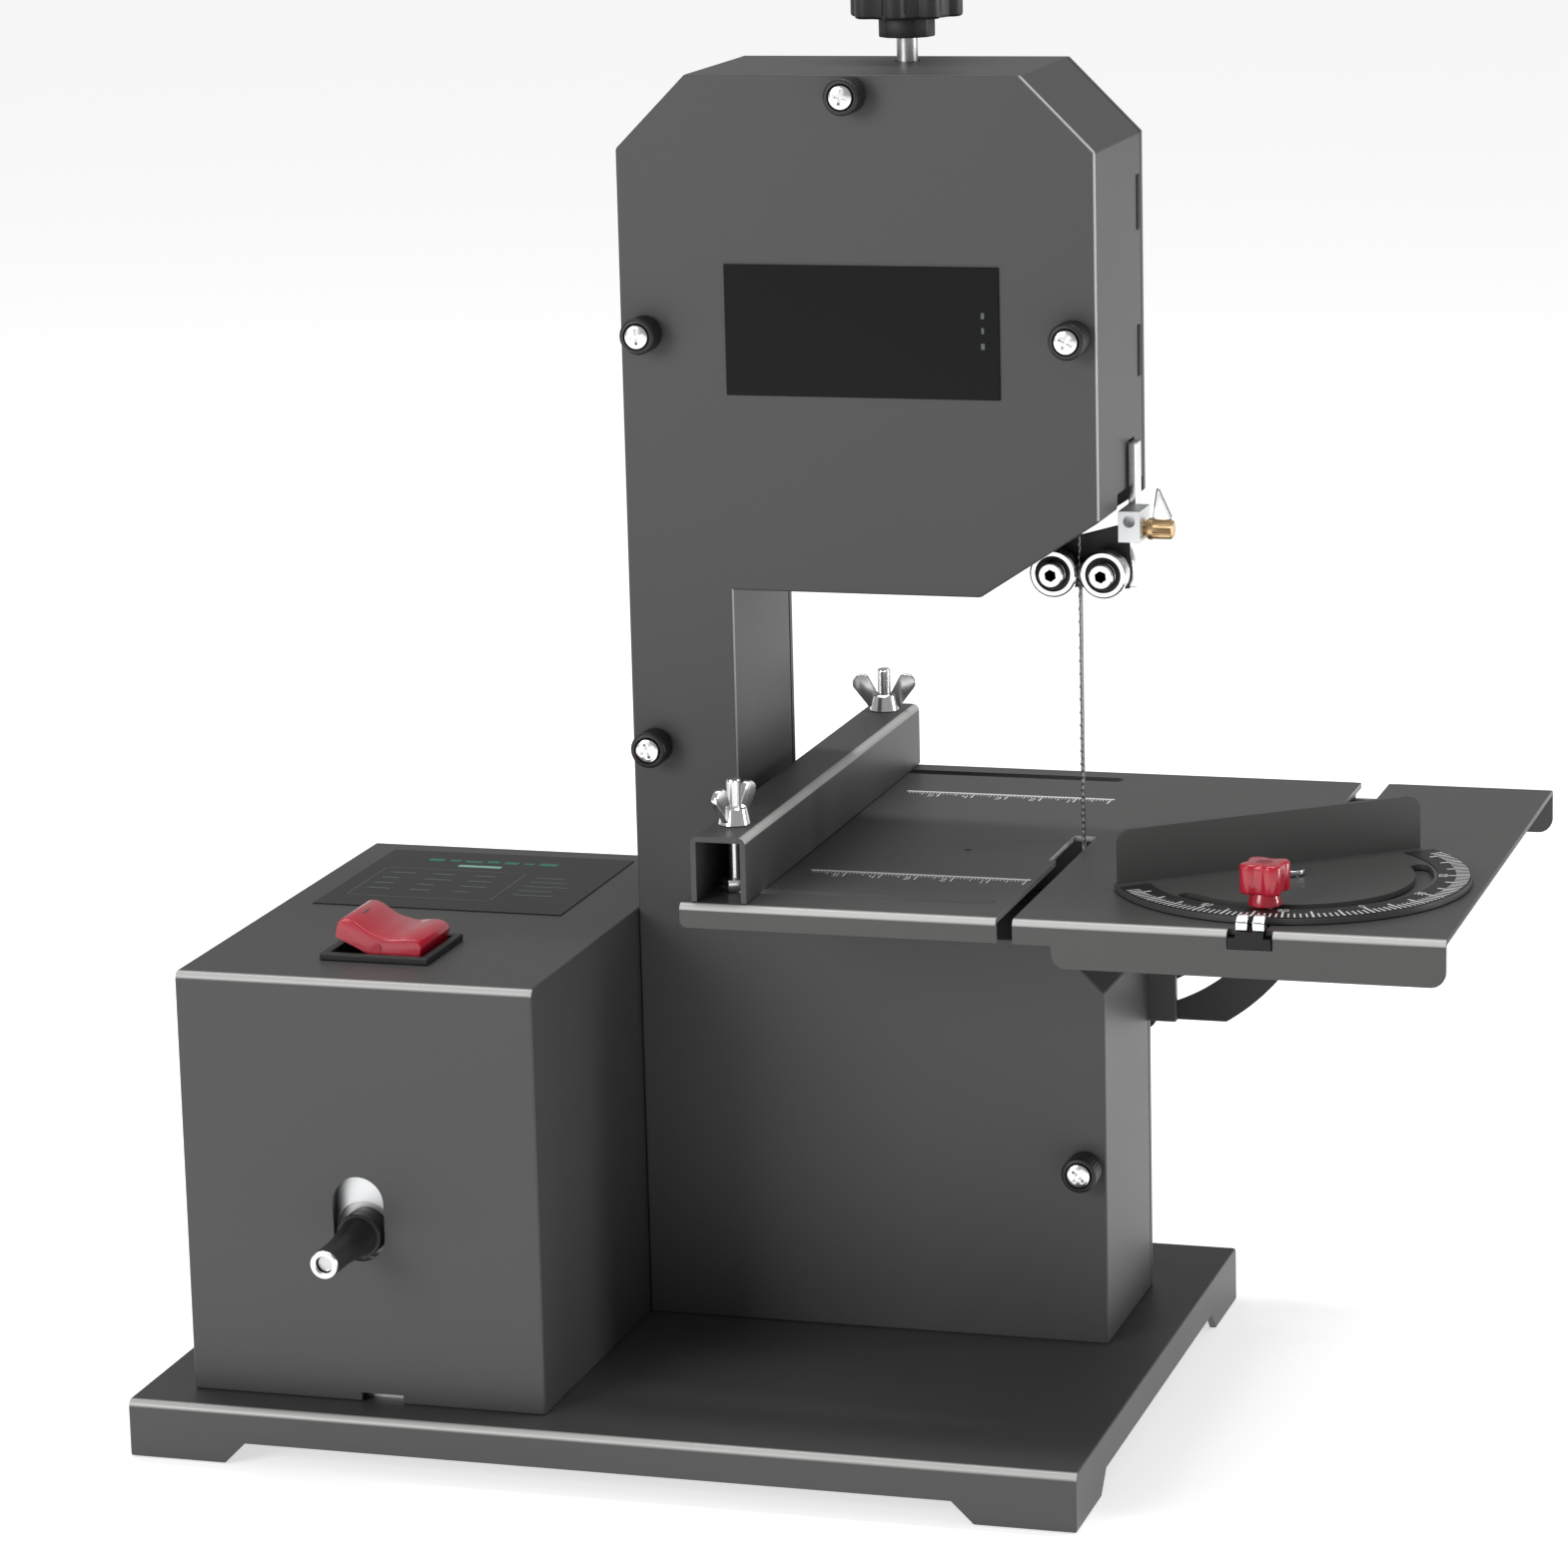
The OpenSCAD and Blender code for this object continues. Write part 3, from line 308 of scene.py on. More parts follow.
# The housing and table paints each carry a light colour that is painted onto chosen folds as a highlight.
FINISHES = {
    "housing_paint": finish("housing_paint", (0.062, 0.062, 0.061), variation=0.10, scale=1100.0,
                            rough=(0.34, 0.46), bump=0.22, depth=0.00005,
                            painted_highlight_color=(0.50, 0.50, 0.49), Specular_IOR_Level=0.42),
    "table_paint": finish("table_paint", (0.074, 0.074, 0.072), variation=0.12, scale=1100.0,
                          rough=(0.32, 0.44), bump=0.22, depth=0.00005, painted_highlight_color=(0.58, 0.58, 0.57),
                          Specular_IOR_Level=0.42),
    "dark_paint": finish("dark_paint", (0.02, 0.02, 0.02), variation=0.15, rough=(0.4, 0.55)),
    "steel": finish("steel", (0.60, 0.60, 0.61), group=BRUSH, rough=(0.22, 0.38), Metallic=1.0),
    "bright_steel": finish("bright_steel", (0.86, 0.86, 0.87), group=BRUSH, rough=(0.10, 0.22),
                           bump=0.05, Metallic=1.0),
    "alloy": finish("alloy", (0.74, 0.75, 0.76), group=BRUSH, rough=(0.26, 0.42), Metallic=1.0),
    "blade_steel": finish("blade_steel", (0.22, 0.22, 0.23), group=BRUSH, rough=(0.3, 0.45),
                          turn=(0.0, math.pi / 2, 0.0), Metallic=1.0),
    "black_plastic": finish("black_plastic", (0.014, 0.014, 0.014), rough=(0.36, 0.5), bump=0.3,
                            scale=1600.0),
    "black_oxide": finish("black_oxide", (0.02, 0.02, 0.021), group=BRUSH, rough=(0.28, 0.4),
                          Metallic=0.7),
    "rubber": finish("rubber", (0.015, 0.015, 0.015), rough=(0.6, 0.8), bump=0.4),
    "gloss_black": finish("gloss_black", (0.006, 0.006, 0.006), variation=0.05, rough=(0.16, 0.24),
                          bump=0.0, Specular_IOR_Level=0.13),
    "red_plastic": finish("red_plastic", (0.52, 0.006, 0.03), variation=0.1, rough=(0.14, 0.24),
                          bump=0.03, Coat_Weight=0.6, Coat_Roughness=0.08, Subsurface_Weight=0.15,
                          Subsurface_Scale=0.004),
    "brass": finish("brass", (0.72, 0.50, 0.27), group=BRUSH, rough=(0.2, 0.34), Metallic=1.0),
    "white_ink": finish("white_ink", (0.82, 0.82, 0.81), variation=0.1, rough=(0.5, 0.65), bump=0.0),
    "green_ink": finish("green_ink", (0.02, 0.17, 0.10), variation=0.3, rough=(0.4, 0.5), bump=0.0),
    "mint_ink": finish("mint_ink", (0.25, 0.52, 0.40), variation=0.1, rough=(0.4, 0.5), bump=0.0),
    "grey_ink": finish("grey_ink", (0.085, 0.105, 0.11), variation=0.3, rough=(0.4, 0.5), bump=0.0),
}
print("finishes:", len(FINISHES))

# %% [markdown]
# ## Making pieces
# A finished piece is a mesh whose place is in its vertices, riding on one body of the working
# model. `settle` does that for every piece: it takes a bmesh, gives it a finish, shades it smooth
# but keeps edges sharper than a given angle crisp, and says which body carries it.

# %% From a bmesh to a piece of the saw
SMOOTH_UNDER = math.radians(34)
WELD = 1e-6


def settle(bm, name, body, finish_name, replaces=(), weighted=False):
    mesh = bpy.data.meshes.new(name)
    bm.to_mesh(mesh)
    bm.free()
    mesh.materials.append(FINISHES[finish_name])
    mesh.shade_smooth()
    mesh.set_sharp_from_angle(angle=SMOOTH_UNDER)
    piece = bpy.data.objects.new(name, mesh)
    bpy.context.scene.collection.objects.link(piece)
    if weighted:
        evened = piece.modifiers.new("even_shading", "WEIGHTED_NORMAL")
        evened.keep_sharp = True
        evened.weight = 80
    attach(piece, body)
    if replaces:
        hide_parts(*replaces)
    return piece


def merge_into(bm, other):
    """Add the faces of another bmesh to this one."""
    carrier = bpy.data.meshes.new("carrier")
    other.to_mesh(carrier)
    other.free()
    bm.from_mesh(carrier)
    bpy.data.meshes.remove(carrier)
    return bm


# %% [markdown]
# Nothing on a real machine has a perfectly sharp edge. A corner that two lights can see but whose
# radius is zero shows no highlight at all, which is the commonest reason that a model looks like
# a model. `ease` rounds every convex edge of a shape by a small radius.

# %% Rounding edges
def convex_edges(bm, least_degrees=30.0):
    least = math.radians(least_degrees)
    return [e for e in bm.edges if len(e.link_faces) == 2 and e.calc_face_angle_signed(0.0) > least]


def round_edges(bm, edges, radius, segments):
    bmesh.ops.bevel(bm, geom=edges, offset=radius, offset_type="OFFSET", segments=segments,
                    profile=0.5, affect="EDGES", clamp_overlap=True, material=-1)


def ease(bm, radius=0.0003, segments=2, least_degrees=30.0):
    round_edges(bm, convex_edges(bm, least_degrees), radius, segments)
    return bm


# %% [markdown]
# Most small parts are either turned on a lathe or cut from flat stock. `lathe` spins a profile of
# (height, radius) pairs about an axis. `prism` pushes a flat outline to a depth. Both build at the
# origin along +Z, and `aimed` gives the matrix that lays that axis where the part belongs.

# %% Lathe, prism and their placing
def aimed(place, axis=(0, 0, 1), spin=0.0):
    """Put +Z along an axis at a place, after a turn about +Z by spin radians."""
    turn = Vector((0, 0, 1)).rotation_difference(Vector(axis)).to_matrix().to_4x4()
    return Matrix.Translation(Vector(place)) @ turn @ Matrix.Rotation(spin, 4, "Z")


def lathe(profile, steps=40, flutes=0, flute_depth=0.0, flute_span=(0.0, 0.0)):
    """Spin (height, radius) pairs about +Z; flutes press straight knurls into a span of heights."""
    bm = bmesh.new()
    verts = [bm.verts.new((radius, 0.0, height)) for height, radius in profile]
    for low, high in zip(verts, verts[1:]):
        bm.edges.new((low, high))
    steps = flutes * 4 if flutes else steps
    bmesh.ops.spin(bm, geom=bm.verts[:] + bm.edges[:], axis=(0, 0, 1), cent=(0, 0, 0),
                   dvec=(0, 0, 0), angle=math.tau, steps=steps, use_merge=True)
    bmesh.ops.remove_doubles(bm, verts=bm.verts, dist=WELD)
    for v in bm.verts:
        if flutes and flute_span[0] < v.co.z < flute_span[1]:
            wave = math.cos(math.atan2(v.co.y, v.co.x) * flutes)
            reach = math.hypot(v.co.x, v.co.y)
            shrink = 1.0 - flute_depth * (0.5 - 0.5 * wave) / reach
            v.co.x, v.co.y = v.co.x * shrink, v.co.y * shrink
    bmesh.ops.recalc_face_normals(bm, faces=bm.faces)
    return bm


def prism(outline, depth, rounding=0.0, segments=2):
    """A flat outline in X-Y, pushed up along +Z."""
    bm = bmesh.new()
    face = bm.faces.new([bm.verts.new((x, y, 0.0)) for x, y in outline])
    pushed = bmesh.ops.extrude_face_region(bm, geom=[face])["geom"]
    bmesh.ops.translate(bm, verts=[v for v in pushed if isinstance(v, bmesh.types.BMVert)],
                        vec=(0, 0, depth))
    bmesh.ops.recalc_face_normals(bm, faces=bm.faces)
    if rounding:
        ease(bm, rounding, segments)
    return bm


def moved(bm, matrix):
    bmesh.ops.transform(bm, matrix=matrix, verts=bm.verts)
    return bm


def block(low, high, rounding=0.0, segments=2):
    """A box between two corners."""
    (x0, y0, z0), (x1, y1, z1) = low, high
    outline = [(x0, y0), (x1, y0), (x1, y1), (x0, y1)]
    return moved(prism(outline, z1 - z0, rounding, segments), Matrix.Translation((0, 0, z0)))


def ring_points(radius, count, start=0.0):
    """Corners of a regular polygon, as a flat outline."""
    return [(radius * math.cos(start + math.tau * k / count), radius * math.sin(start + math.tau * k / count))
            for k in range(count)]

# %% [markdown]
# ## Folded sheet
# A press brake bends sheet round a nose, so the outside of each fold has a radius a little over
# the sheet's thickness, while the cut edges stay square and are only broken by a file. The two
# need different roundings. A fold is a convex edge with a wide face on both sides of it; a cut
# edge has a narrow one, as wide as the sheet is thick. `fold_softened` copies a part of the frame,
# welds it, finds both kinds of edge by that rule, and rounds each its own way.

# %% Soft folds and broken edges on a copy of a sheet part
FLAT_WITHIN = math.radians(0.4)
LONG_CUT = 2.4 * MM
WIDER_THAN_SHEET = 3.2 * MM


def welded_copy(node_name):
    bm = bmesh.new()
    bm.from_mesh(nodes[node_name].data)
    bmesh.ops.remove_doubles(bm, verts=bm.verts, dist=WELD)
    bmesh.ops.dissolve_limit(bm, angle_limit=FLAT_WITHIN, use_dissolve_boundaries=False,
                             verts=bm.verts, edges=bm.edges, delimit=set())
    return bm


def reach_from(edge, face):
    """How far a face stretches away from one of its edges."""
    start, end = edge.verts[0].co, edge.verts[1].co
    along = (end - start).normalized()
    return max((v.co - start).cross(along).length for v in face.verts)


# %% [markdown]
# Folds that stand towards the operator get a painted highlight: their paint is made lighter and
# smoother, in place of light on them. A mask on the mesh's corners says where: it is 1 half way
# round the fold and falls to 0 at the flats, because it comes from how far the surface has turned
# between two square directions.

# %% Painted highlights on folds
def turned_between(normal):
    parts = sorted(abs(part) for part in normal)
    return min(1.0, 2.6 * parts[2] * parts[1])


def is_strip(face):
    """True for the narrow faces that make up a fold."""
    return face.calc_area() < 1.5 * MM * max(e.calc_length() for e in face.edges)


# Painted highlight: the mask lightens and smooths the paint of chosen folds, standing in for light on them.
def rub_folds(bm, near_fold):
    """Mask the turned part of every fold for which near_fold(position, normal) is true.

    The mask lives on the corners of the narrow faces, so that none of it spreads over a flat."""
    layer = bm.loops.layers.float.new(PAINTED_HIGHLIGHT)
    bm.normal_update()
    for face in bm.faces:
        if not is_strip(face):
            continue
        for loop in face.loops:
            around = Vector((0.0, 0.0, 0.0))
            for other in loop.vert.link_faces:
                if other.normal.dot(face.normal) > 0.8:
                    around += other.normal
            if around.length and near_fold(loop.vert.co, around.normalized()):
                loop[layer] = turned_between(around.normalized())


def fold_softened(node_name, finish_name, fold=1.8 * MM, edge=0.25 * MM, near_fold=None):
    bm = welded_copy(node_name)
    folds = [e for e in convex_edges(bm)
             if all(reach_from(e, f) > WIDER_THAN_SHEET for f in e.link_faces)]
    if fold and folds:
        round_edges(bm, folds, fold, 6)
    cuts = [e for e in convex_edges(bm, 40.0) if e.calc_length() > LONG_CUT]
    if edge and cuts:
        round_edges(bm, cuts, edge, 2)
    # Painted highlight on the folds that near_fold picks.
    if near_fold:
        rub_folds(bm, near_fold)
    print(node_name, "folds:", len(folds), "cut edges:", len(cuts), "faces:", len(bm.faces))
    return settle(bm, node_name + "_sheet", body_of_node[node_name], finish_name,
                  replaces=(node_name,), weighted=True)


# %% [markdown]
# Each rule below says which folds get a painted highlight: along the front of the tray and of the
# motor box, up the right of the housing's face, round the table's front and right edges, and along
# the fence's right shoulder.

# %% The sheet parts
house_low, house_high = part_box("front_cover")
table_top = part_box("table")[1].z
NEAR = 3.0 * MM


def front_top_fold(co, normal):
    return normal.y < -0.1 and normal.z > 0.1


def housing_right_fold(co, normal):
    leans_right = normal.x > 0.1 and normal.y < -0.1
    return leans_right and co.y < house_low.y + NEAR and co.z > 0.2 and normal.z > -0.05


def table_fold(co, normal):
    return normal.z > 0.1 and (normal.y < -0.1 or normal.x > 0.1)


def fence_fold(co, normal):
    return normal.x > 0.1 and normal.z > 0.1


fold_softened("base_plate", "housing_paint", fold=0.6 * MM, near_fold=front_top_fold)
fold_softened("motor_cover", "housing_paint", fold=0.6 * MM, near_fold=front_top_fold)
fold_softened("front_cover", "housing_paint", fold=1.7 * MM, near_fold=housing_right_fold)
fold_softened("back_frame", "housing_paint", fold=0.0)
fold_softened("rear_panel", "housing_paint", fold=0.0)
fold_softened("table", "table_paint", fold=0.0, edge=0.3 * MM, near_fold=table_fold)
fold_softened("fence", "housing_paint", fold=0.0, near_fold=fence_fold)
fold_softened("quadrant", "dark_paint", fold=0.0)
fold_softened("mitre_plate", "table_paint", fold=0.0)
fold_softened("mitre_channel", "dark_paint", fold=0.0)

# %% [markdown]
# ## Screws
# Five cross-head screws in black collars hold the housing's cover, and the same head, smaller,
# holds the rear panel. The recess is cut the way a punch would: the face of the head is a ring
# bridged from a circle to a cross, and the cross is pushed in and narrowed towards its floor.

# %% A cross-head screw
def cross_outline(reach, half):
    corner = [(half, half), (half, reach), (-half, reach), (-half, half)]
    points = []
    for quarter in range(4):
        turn = Matrix.Rotation(quarter * math.pi / 2, 2)
        points += [tuple(turn @ Vector(p)) for p in corner[:3]]
    return points


def cross_head(radius, height, reach, half, deep):
    """A pan head standing on +Z, with a cross recess in its crown."""
    crown = radius * 0.74
    bm = lathe([(0.0, radius), (height * 0.45, radius), (height * 0.85, radius * 0.9),
                (height, crown)], steps=36)
    rim = [e for e in bm.edges if all(abs(v.co.z - height) < WELD for v in e.verts)]
    cross_face = bm.faces.new([bm.verts.new((x, y, height)) for x, y in cross_outline(reach, half)])
    bmesh.ops.bridge_loops(bm, edges=rim + list(cross_face.edges))
    floor = bmesh.ops.extrude_face_region(bm, geom=[cross_face])["geom"]
    sunk = [v for v in floor if isinstance(v, bmesh.types.BMVert)]
    bmesh.ops.translate(bm, verts=sunk, vec=(0, 0, -deep))
    bmesh.ops.scale(bm, verts=sunk, vec=(0.7, 0.7, 1.0))
    bmesh.ops.delete(bm, geom=[cross_face], context="FACES_ONLY")
    bmesh.ops.recalc_face_normals(bm, faces=bm.faces)
    return bm


def spots_of(node_name):
    """Where the separate solids of a node stand: the middle of each one's box."""
    bm = welded_copy(node_name)
    spots, left = [], set(bm.verts)
    while left:
        stack, island = [left.pop()], []
        while stack:
            v = stack.pop()
            island.append(v.co.copy())
            for e in v.link_edges:
                other = e.other_vert(v)
                if other in left:
                    left.remove(other)
                    stack.append(other)
        low = Vector(min(p[i] for p in island) for i in range(3))
        high = Vector(max(p[i] for p in island) for i in range(3))
        spots.append(((low + high) / 2, low, high))
    bm.free()
    return sorted(spots, key=lambda spot: tuple(round(c, 5) for c in spot[0]))


# %% [markdown]
# The collars are moulded round the heads so that the screws can be turned by hand. Each is a
# turned shape with a shallow dish for the head and faint knurls round its middle.

# %% Cover screws and their collars
TOWARDS_OPERATOR = (0, -1, 0)
heads, collars = bmesh.new(), bmesh.new()
for number, (middle, low, high) in enumerate(spots_of("thumb_collars")):
    lean = 0.35 + 1.3 * number
    dish = Vector((middle.x, low.y + 1.2 * MM, middle.z))
    merge_into(heads, moved(cross_head(3.5 * MM, 1.7 * MM, 2.1 * MM, 0.42 * MM, 1.1 * MM),
                            aimed(dish, TOWARDS_OPERATOR, lean)))
    collar = lathe([(8.0 * MM, 3.75 * MM), (8.0 * MM, 4.3 * MM), (7.7 * MM, 4.75 * MM),
                    (7.1 * MM, 5.0 * MM), (6.6 * MM, 5.0 * MM), (1.2 * MM, 5.0 * MM),
                    (0.7 * MM, 4.9 * MM), (0.35 * MM, 4.6 * MM), (0.0, 4.6 * MM), (0.0, 2.1 * MM),
                    (6.8 * MM, 2.1 * MM), (6.8 * MM, 3.75 * MM), (8.0 * MM, 3.75 * MM)], flutes=30,
                   flute_depth=0.22 * MM, flute_span=(1.0 * MM, 6.7 * MM))
    merge_into(collars, moved(collar, aimed((middle.x, high.y, middle.z), TOWARDS_OPERATOR)))
    shank = lathe([(0.0, 0.0), (0.0, 2.0 * MM), (19.0 * MM, 2.0 * MM), (19.0 * MM, 0.0)], steps=20)
    merge_into(heads, moved(shank, aimed((middle.x, low.y + 1.3 * MM, middle.z), (0, 1, 0))))
settle(heads, "cover_screws", "machine", "bright_steel", replaces=("thumb_screws",))
settle(collars, "cover_screw_collars", "machine", "black_plastic", replaces=("thumb_collars",))

panel_heads = bmesh.new()
for number, (middle, low, high) in enumerate(spots_of("panel_screws")):
    place = (middle.x, low.y, middle.z)
    merge_into(panel_heads, moved(cross_head(3.0 * MM, 1.8 * MM, 1.8 * MM, 0.36 * MM, 0.9 * MM),
                                  aimed(place, (0, 1, 0), 0.5 + number)))
settle(panel_heads, "rear_panel_screws", "machine", "bright_steel", replaces=("panel_screws",))

# %% [markdown]
# ## Threads and wing nuts
# A thread is a helix, but at this size rings read the same and close cleanly at both ends. The
# fence is held by two long bolts with wing nuts. A pressed wing nut has a tapered boss and two
# tongues that lean outwards, each as flat as a coin.

# %% Threaded rod
def thread_profile(length, radius, pitch, depth):
    points = [(0.0, 0.0), (0.0, radius - depth)]
    turns = int(length / pitch)
    for k in range(turns):
        points += [(pitch * (k + 0.25), radius - depth), (pitch * (k + 0.5), radius),
                   (pitch * (k + 0.75), radius), (pitch * (k + 1.0), radius - depth)]
    points += [(length, radius - 1.5 * depth), (length, 0.0)]
    return points


def threaded(length, radius, pitch=0.7 * MM, depth=0.22 * MM, steps=24):
    return lathe(thread_profile(length, radius, pitch, depth), steps=steps)


def hex_part(radius, height, rounding=0.25 * MM):
    return prism(ring_points(radius, 6), height, rounding)


# %% Wing nuts and the fence's bolts
NUT_BOSS = [(0.0, 2.1 * MM), (0.0, 4.1 * MM), (0.4 * MM, 4.3 * MM), (3.2 * MM, 3.7 * MM),
            (4.6 * MM, 3.4 * MM), (4.9 * MM, 3.0 * MM), (4.9 * MM, 2.1 * MM), (0.0, 2.1 * MM)]
WING_LEAN = math.radians(33)


def wing_outline():
    """A tongue, wider towards its rounded end."""
    tip = [(2.75 * MM * math.cos(a), 7.4 * MM + 2.3 * MM * math.sin(a))
           for a in (math.radians(d) for d in range(-10, 191, 20))]
    return [(-2.1 * MM, 0.0), (2.1 * MM, 0.0)] + tip


def wing_nut(foot, turn):
    nut = lathe(NUT_BOSS, steps=36)
    for side in (-1, 1):
        wing = prism(wing_outline(), 1.7 * MM, 0.35 * MM, 3)
        stand = Matrix.Rotation(math.pi / 2, 4, "X") @ Matrix.Translation((0, 0, -0.85 * MM))
        lean = Matrix.Rotation(side * WING_LEAN, 4, "Y")
        merge_into(nut, moved(wing, Matrix.Translation((side * 2.7 * MM, 0, 2.2 * MM)) @ lean @ stand))
    return moved(nut, Matrix.Translation(foot) @ Matrix.Rotation(turn, 4, "Z"))


FRONT_TURN, REAR_TURN = math.radians(72), math.radians(12)
bolt_middle = {}
for nut_name, turn in (("wing_nut_front", FRONT_TURN), ("wing_nut_rear", REAR_TURN)):
    low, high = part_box(nut_name)
    middle = (low + high) / 2
    bolt_middle[nut_name] = middle
    settle(wing_nut(Vector((middle.x, middle.y, low.z)), turn), nut_name + "_pressed",
           body_of_node[nut_name], "bright_steel", replaces=(nut_name,))

bolts = bmesh.new()
bolt_low, bolt_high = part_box("fence_bolts")
for middle in bolt_middle.values():
    foot = Vector((middle.x, middle.y, bolt_low.z))
    merge_into(bolts, moved(threaded(bolt_high.z - bolt_low.z - 0.3 * MM, 2.0 * MM), aimed(foot)))
    merge_into(bolts, moved(lathe([(0, 0), (0, 3.6 * MM), (0.6 * MM, 4.2 * MM), (2.5 * MM, 4.2 * MM),
                                   (2.5 * MM, 0)], steps=36), aimed(foot)))
    merge_into(bolts, moved(hex_part(4.0 * MM, 3.2 * MM),
                            aimed((middle.x, middle.y, table_top + 0.3 * MM), spin=0.3)))
settle(bolts, "fence_bolts_threaded", "fence_group", "bright_steel", replaces=("fence_bolts",))

# %% [markdown]
# ## The blade guide
# Under the upper housing the blade runs between two ball bearings. A bearing seen from its end is
# three rings: a ground outer race, a dark shield set back between the races, and the inner race
# with a bolt through it. Turned steel takes sharp small chamfers, so the profile has them.

# %% Bearings and their bolts
INTO_MACHINE = (0, 1, 0)
for side in ("left", "right"):
    node_name = "guide_bearing_" + side
    low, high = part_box(node_name)
    middle = (low + high) / 2
    width, reach = high.y - low.y, (high.x - low.x) / 2
    half = [(0.0, 4.95 * MM), (0.0, reach - 0.45 * MM), (0.4 * MM, reach)]
    mirrored = [(width - h, r) for h, r in reversed(half)]
    races = lathe(half + mirrored + [half[0]], steps=56)
    merge_into(races, lathe([(0.0, 2.0 * MM), (0.0, 3.2 * MM), (0.2 * MM, 3.45 * MM),
                             (width - 0.2 * MM, 3.45 * MM), (width, 3.2 * MM), (width, 2.0 * MM),
                             (0.0, 2.0 * MM)], steps=40))
    settle(moved(races, aimed((middle.x, low.y, middle.z), INTO_MACHINE)), node_name + "_races",
           body_of_node[node_name], "bright_steel", replaces=(node_name,))
    shield = lathe([(0.75 * MM, 3.3 * MM), (0.55 * MM, 3.9 * MM), (0.55 * MM, 4.5 * MM),
                    (0.75 * MM, 5.0 * MM), (width - 0.7 * MM, 5.0 * MM), (width - 0.7 * MM, 3.3 * MM),
                    (0.75 * MM, 3.3 * MM)], steps=40)
    settle(moved(shield, aimed((middle.x, low.y, middle.z), INTO_MACHINE)), node_name + "_shield",
           body_of_node[node_name], "black_oxide")

bearing_bolts = bmesh.new()
for number, (middle, low, high) in enumerate(spots_of("bearing_bolts")):
    socket_deep = 1.7 * MM
    head = lathe([(0.0, 2.6 * MM), (0.0, 3.1 * MM), (0.35 * MM, 3.5 * MM), (2.4 * MM, 3.5 * MM)], steps=36)
    mouth = [e for e in head.edges if all(abs(v.co.z) < WELD for v in e.verts)
             and max(v.co.xy.length for v in e.verts) < 2.7 * MM]
    hexagon = head.faces.new([head.verts.new((x, y, 0.0)) for x, y in ring_points(1.75 * MM, 6, 0.4)])
    bmesh.ops.bridge_loops(head, edges=mouth + list(hexagon.edges))
    sunk = bmesh.ops.extrude_face_region(head, geom=[hexagon])["geom"]
    bmesh.ops.translate(head, verts=[v for v in sunk if isinstance(v, bmesh.types.BMVert)],
                        vec=(0, 0, socket_deep))
    bmesh.ops.delete(head, geom=[hexagon], context="FACES_ONLY")
    merge_into(head, lathe([(2.4 * MM, 3.5 * MM), (2.4 * MM, 1.95 * MM),
                            (high.y - low.y - 2.0 * MM, 1.95 * MM)], steps=28))
    nut = moved(hex_part(3.4 * MM, 2.0 * MM), Matrix.Translation((0, 0, high.y - low.y - 2.0 * MM)))
    merge_into(head, nut)
    merge_into(head, moved(lathe([(0, 1.95 * MM), (0, 3.0 * MM), (2.4 * MM, 3.0 * MM), (2.4 * MM, 1.95 * MM)],
                                 steps=32), Matrix.Translation((0, 0, 8.25 * MM))))
    bmesh.ops.remove_doubles(head, verts=head.verts, dist=WELD)
    bmesh.ops.recalc_face_normals(head, faces=head.faces)
    merge_into(bearing_bolts, moved(head, aimed((middle.x, low.y, middle.z), INTO_MACHINE)))
settle(bearing_bolts, "bearing_bolts_socket", "guide", "bright_steel", replaces=("bearing_bolts",))

# %% [markdown]
# The guide is clamped at its height by a knurled brass screw with a wire pull over it. The silver
# block, the post and the dark arm only need their edges broken, so they are copies of the frame's
# own parts, rounded.

# %% Guide block, post, arm and brass screw
def eased_copy(node_name, finish_name, radius=0.3 * MM, segments=2):
    bm = welded_copy(node_name)
    ease(bm, radius, segments, 35.0)
    return settle(bm, node_name + "_eased", body_of_node[node_name], finish_name,
                  replaces=(node_name,), weighted=True)


eased_copy("guide_block", "alloy", 0.45 * MM, 3)
eased_copy("guide_post", "bright_steel", 0.35 * MM)
eased_copy("guide_arm", "dark_paint", 0.25 * MM)

screw_low, screw_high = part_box("lock_screw")
length = screw_high.x - screw_low.x
grip_from = length - 7.6 * MM
grip = [(0.0, 0.0), (0.0, 1.2 * MM), (0.3 * MM, 1.5 * MM), (grip_from, 1.5 * MM), (grip_from, 2.3 * MM),
        (grip_from + 0.5 * MM, 2.7 * MM), (grip_from + 0.9 * MM, 3.0 * MM), (grip_from + 1.7 * MM, 3.0 * MM),
        (grip_from + 2.1 * MM, 2.7 * MM), (grip_from + 4.2 * MM, 2.7 * MM), (grip_from + 6.6 * MM, 2.7 * MM),
        (length - 0.35 * MM, 2.45 * MM), (length, 2.0 * MM), (length, 0.0)]
brass_screw = lathe(grip, flutes=22, flute_depth=0.3 * MM,
                    flute_span=(grip_from + 2.3 * MM, grip_from + 6.7 * MM))
screw_middle = (screw_low + screw_high) / 2
settle(moved(brass_screw, aimed((screw_low.x, screw_middle.y, screw_middle.z), (1, 0, 0))),
       "lock_screw_knurled", "guide_lock", "brass", replaces=("lock_screw",))

# %% [markdown]
# ## The blade
# A narrow band of spring steel, toothed along its front edge. A tooth cell is drawn flat once, as
# a gullet and a raked tip, and repeated along a straight strip as long as the loop. Then every
# point is carried round the loop: up one side, over the upper wheel, down and under. Alternate
# tips are set a little to either side, as a real blade is set, so that it clears its own cut.

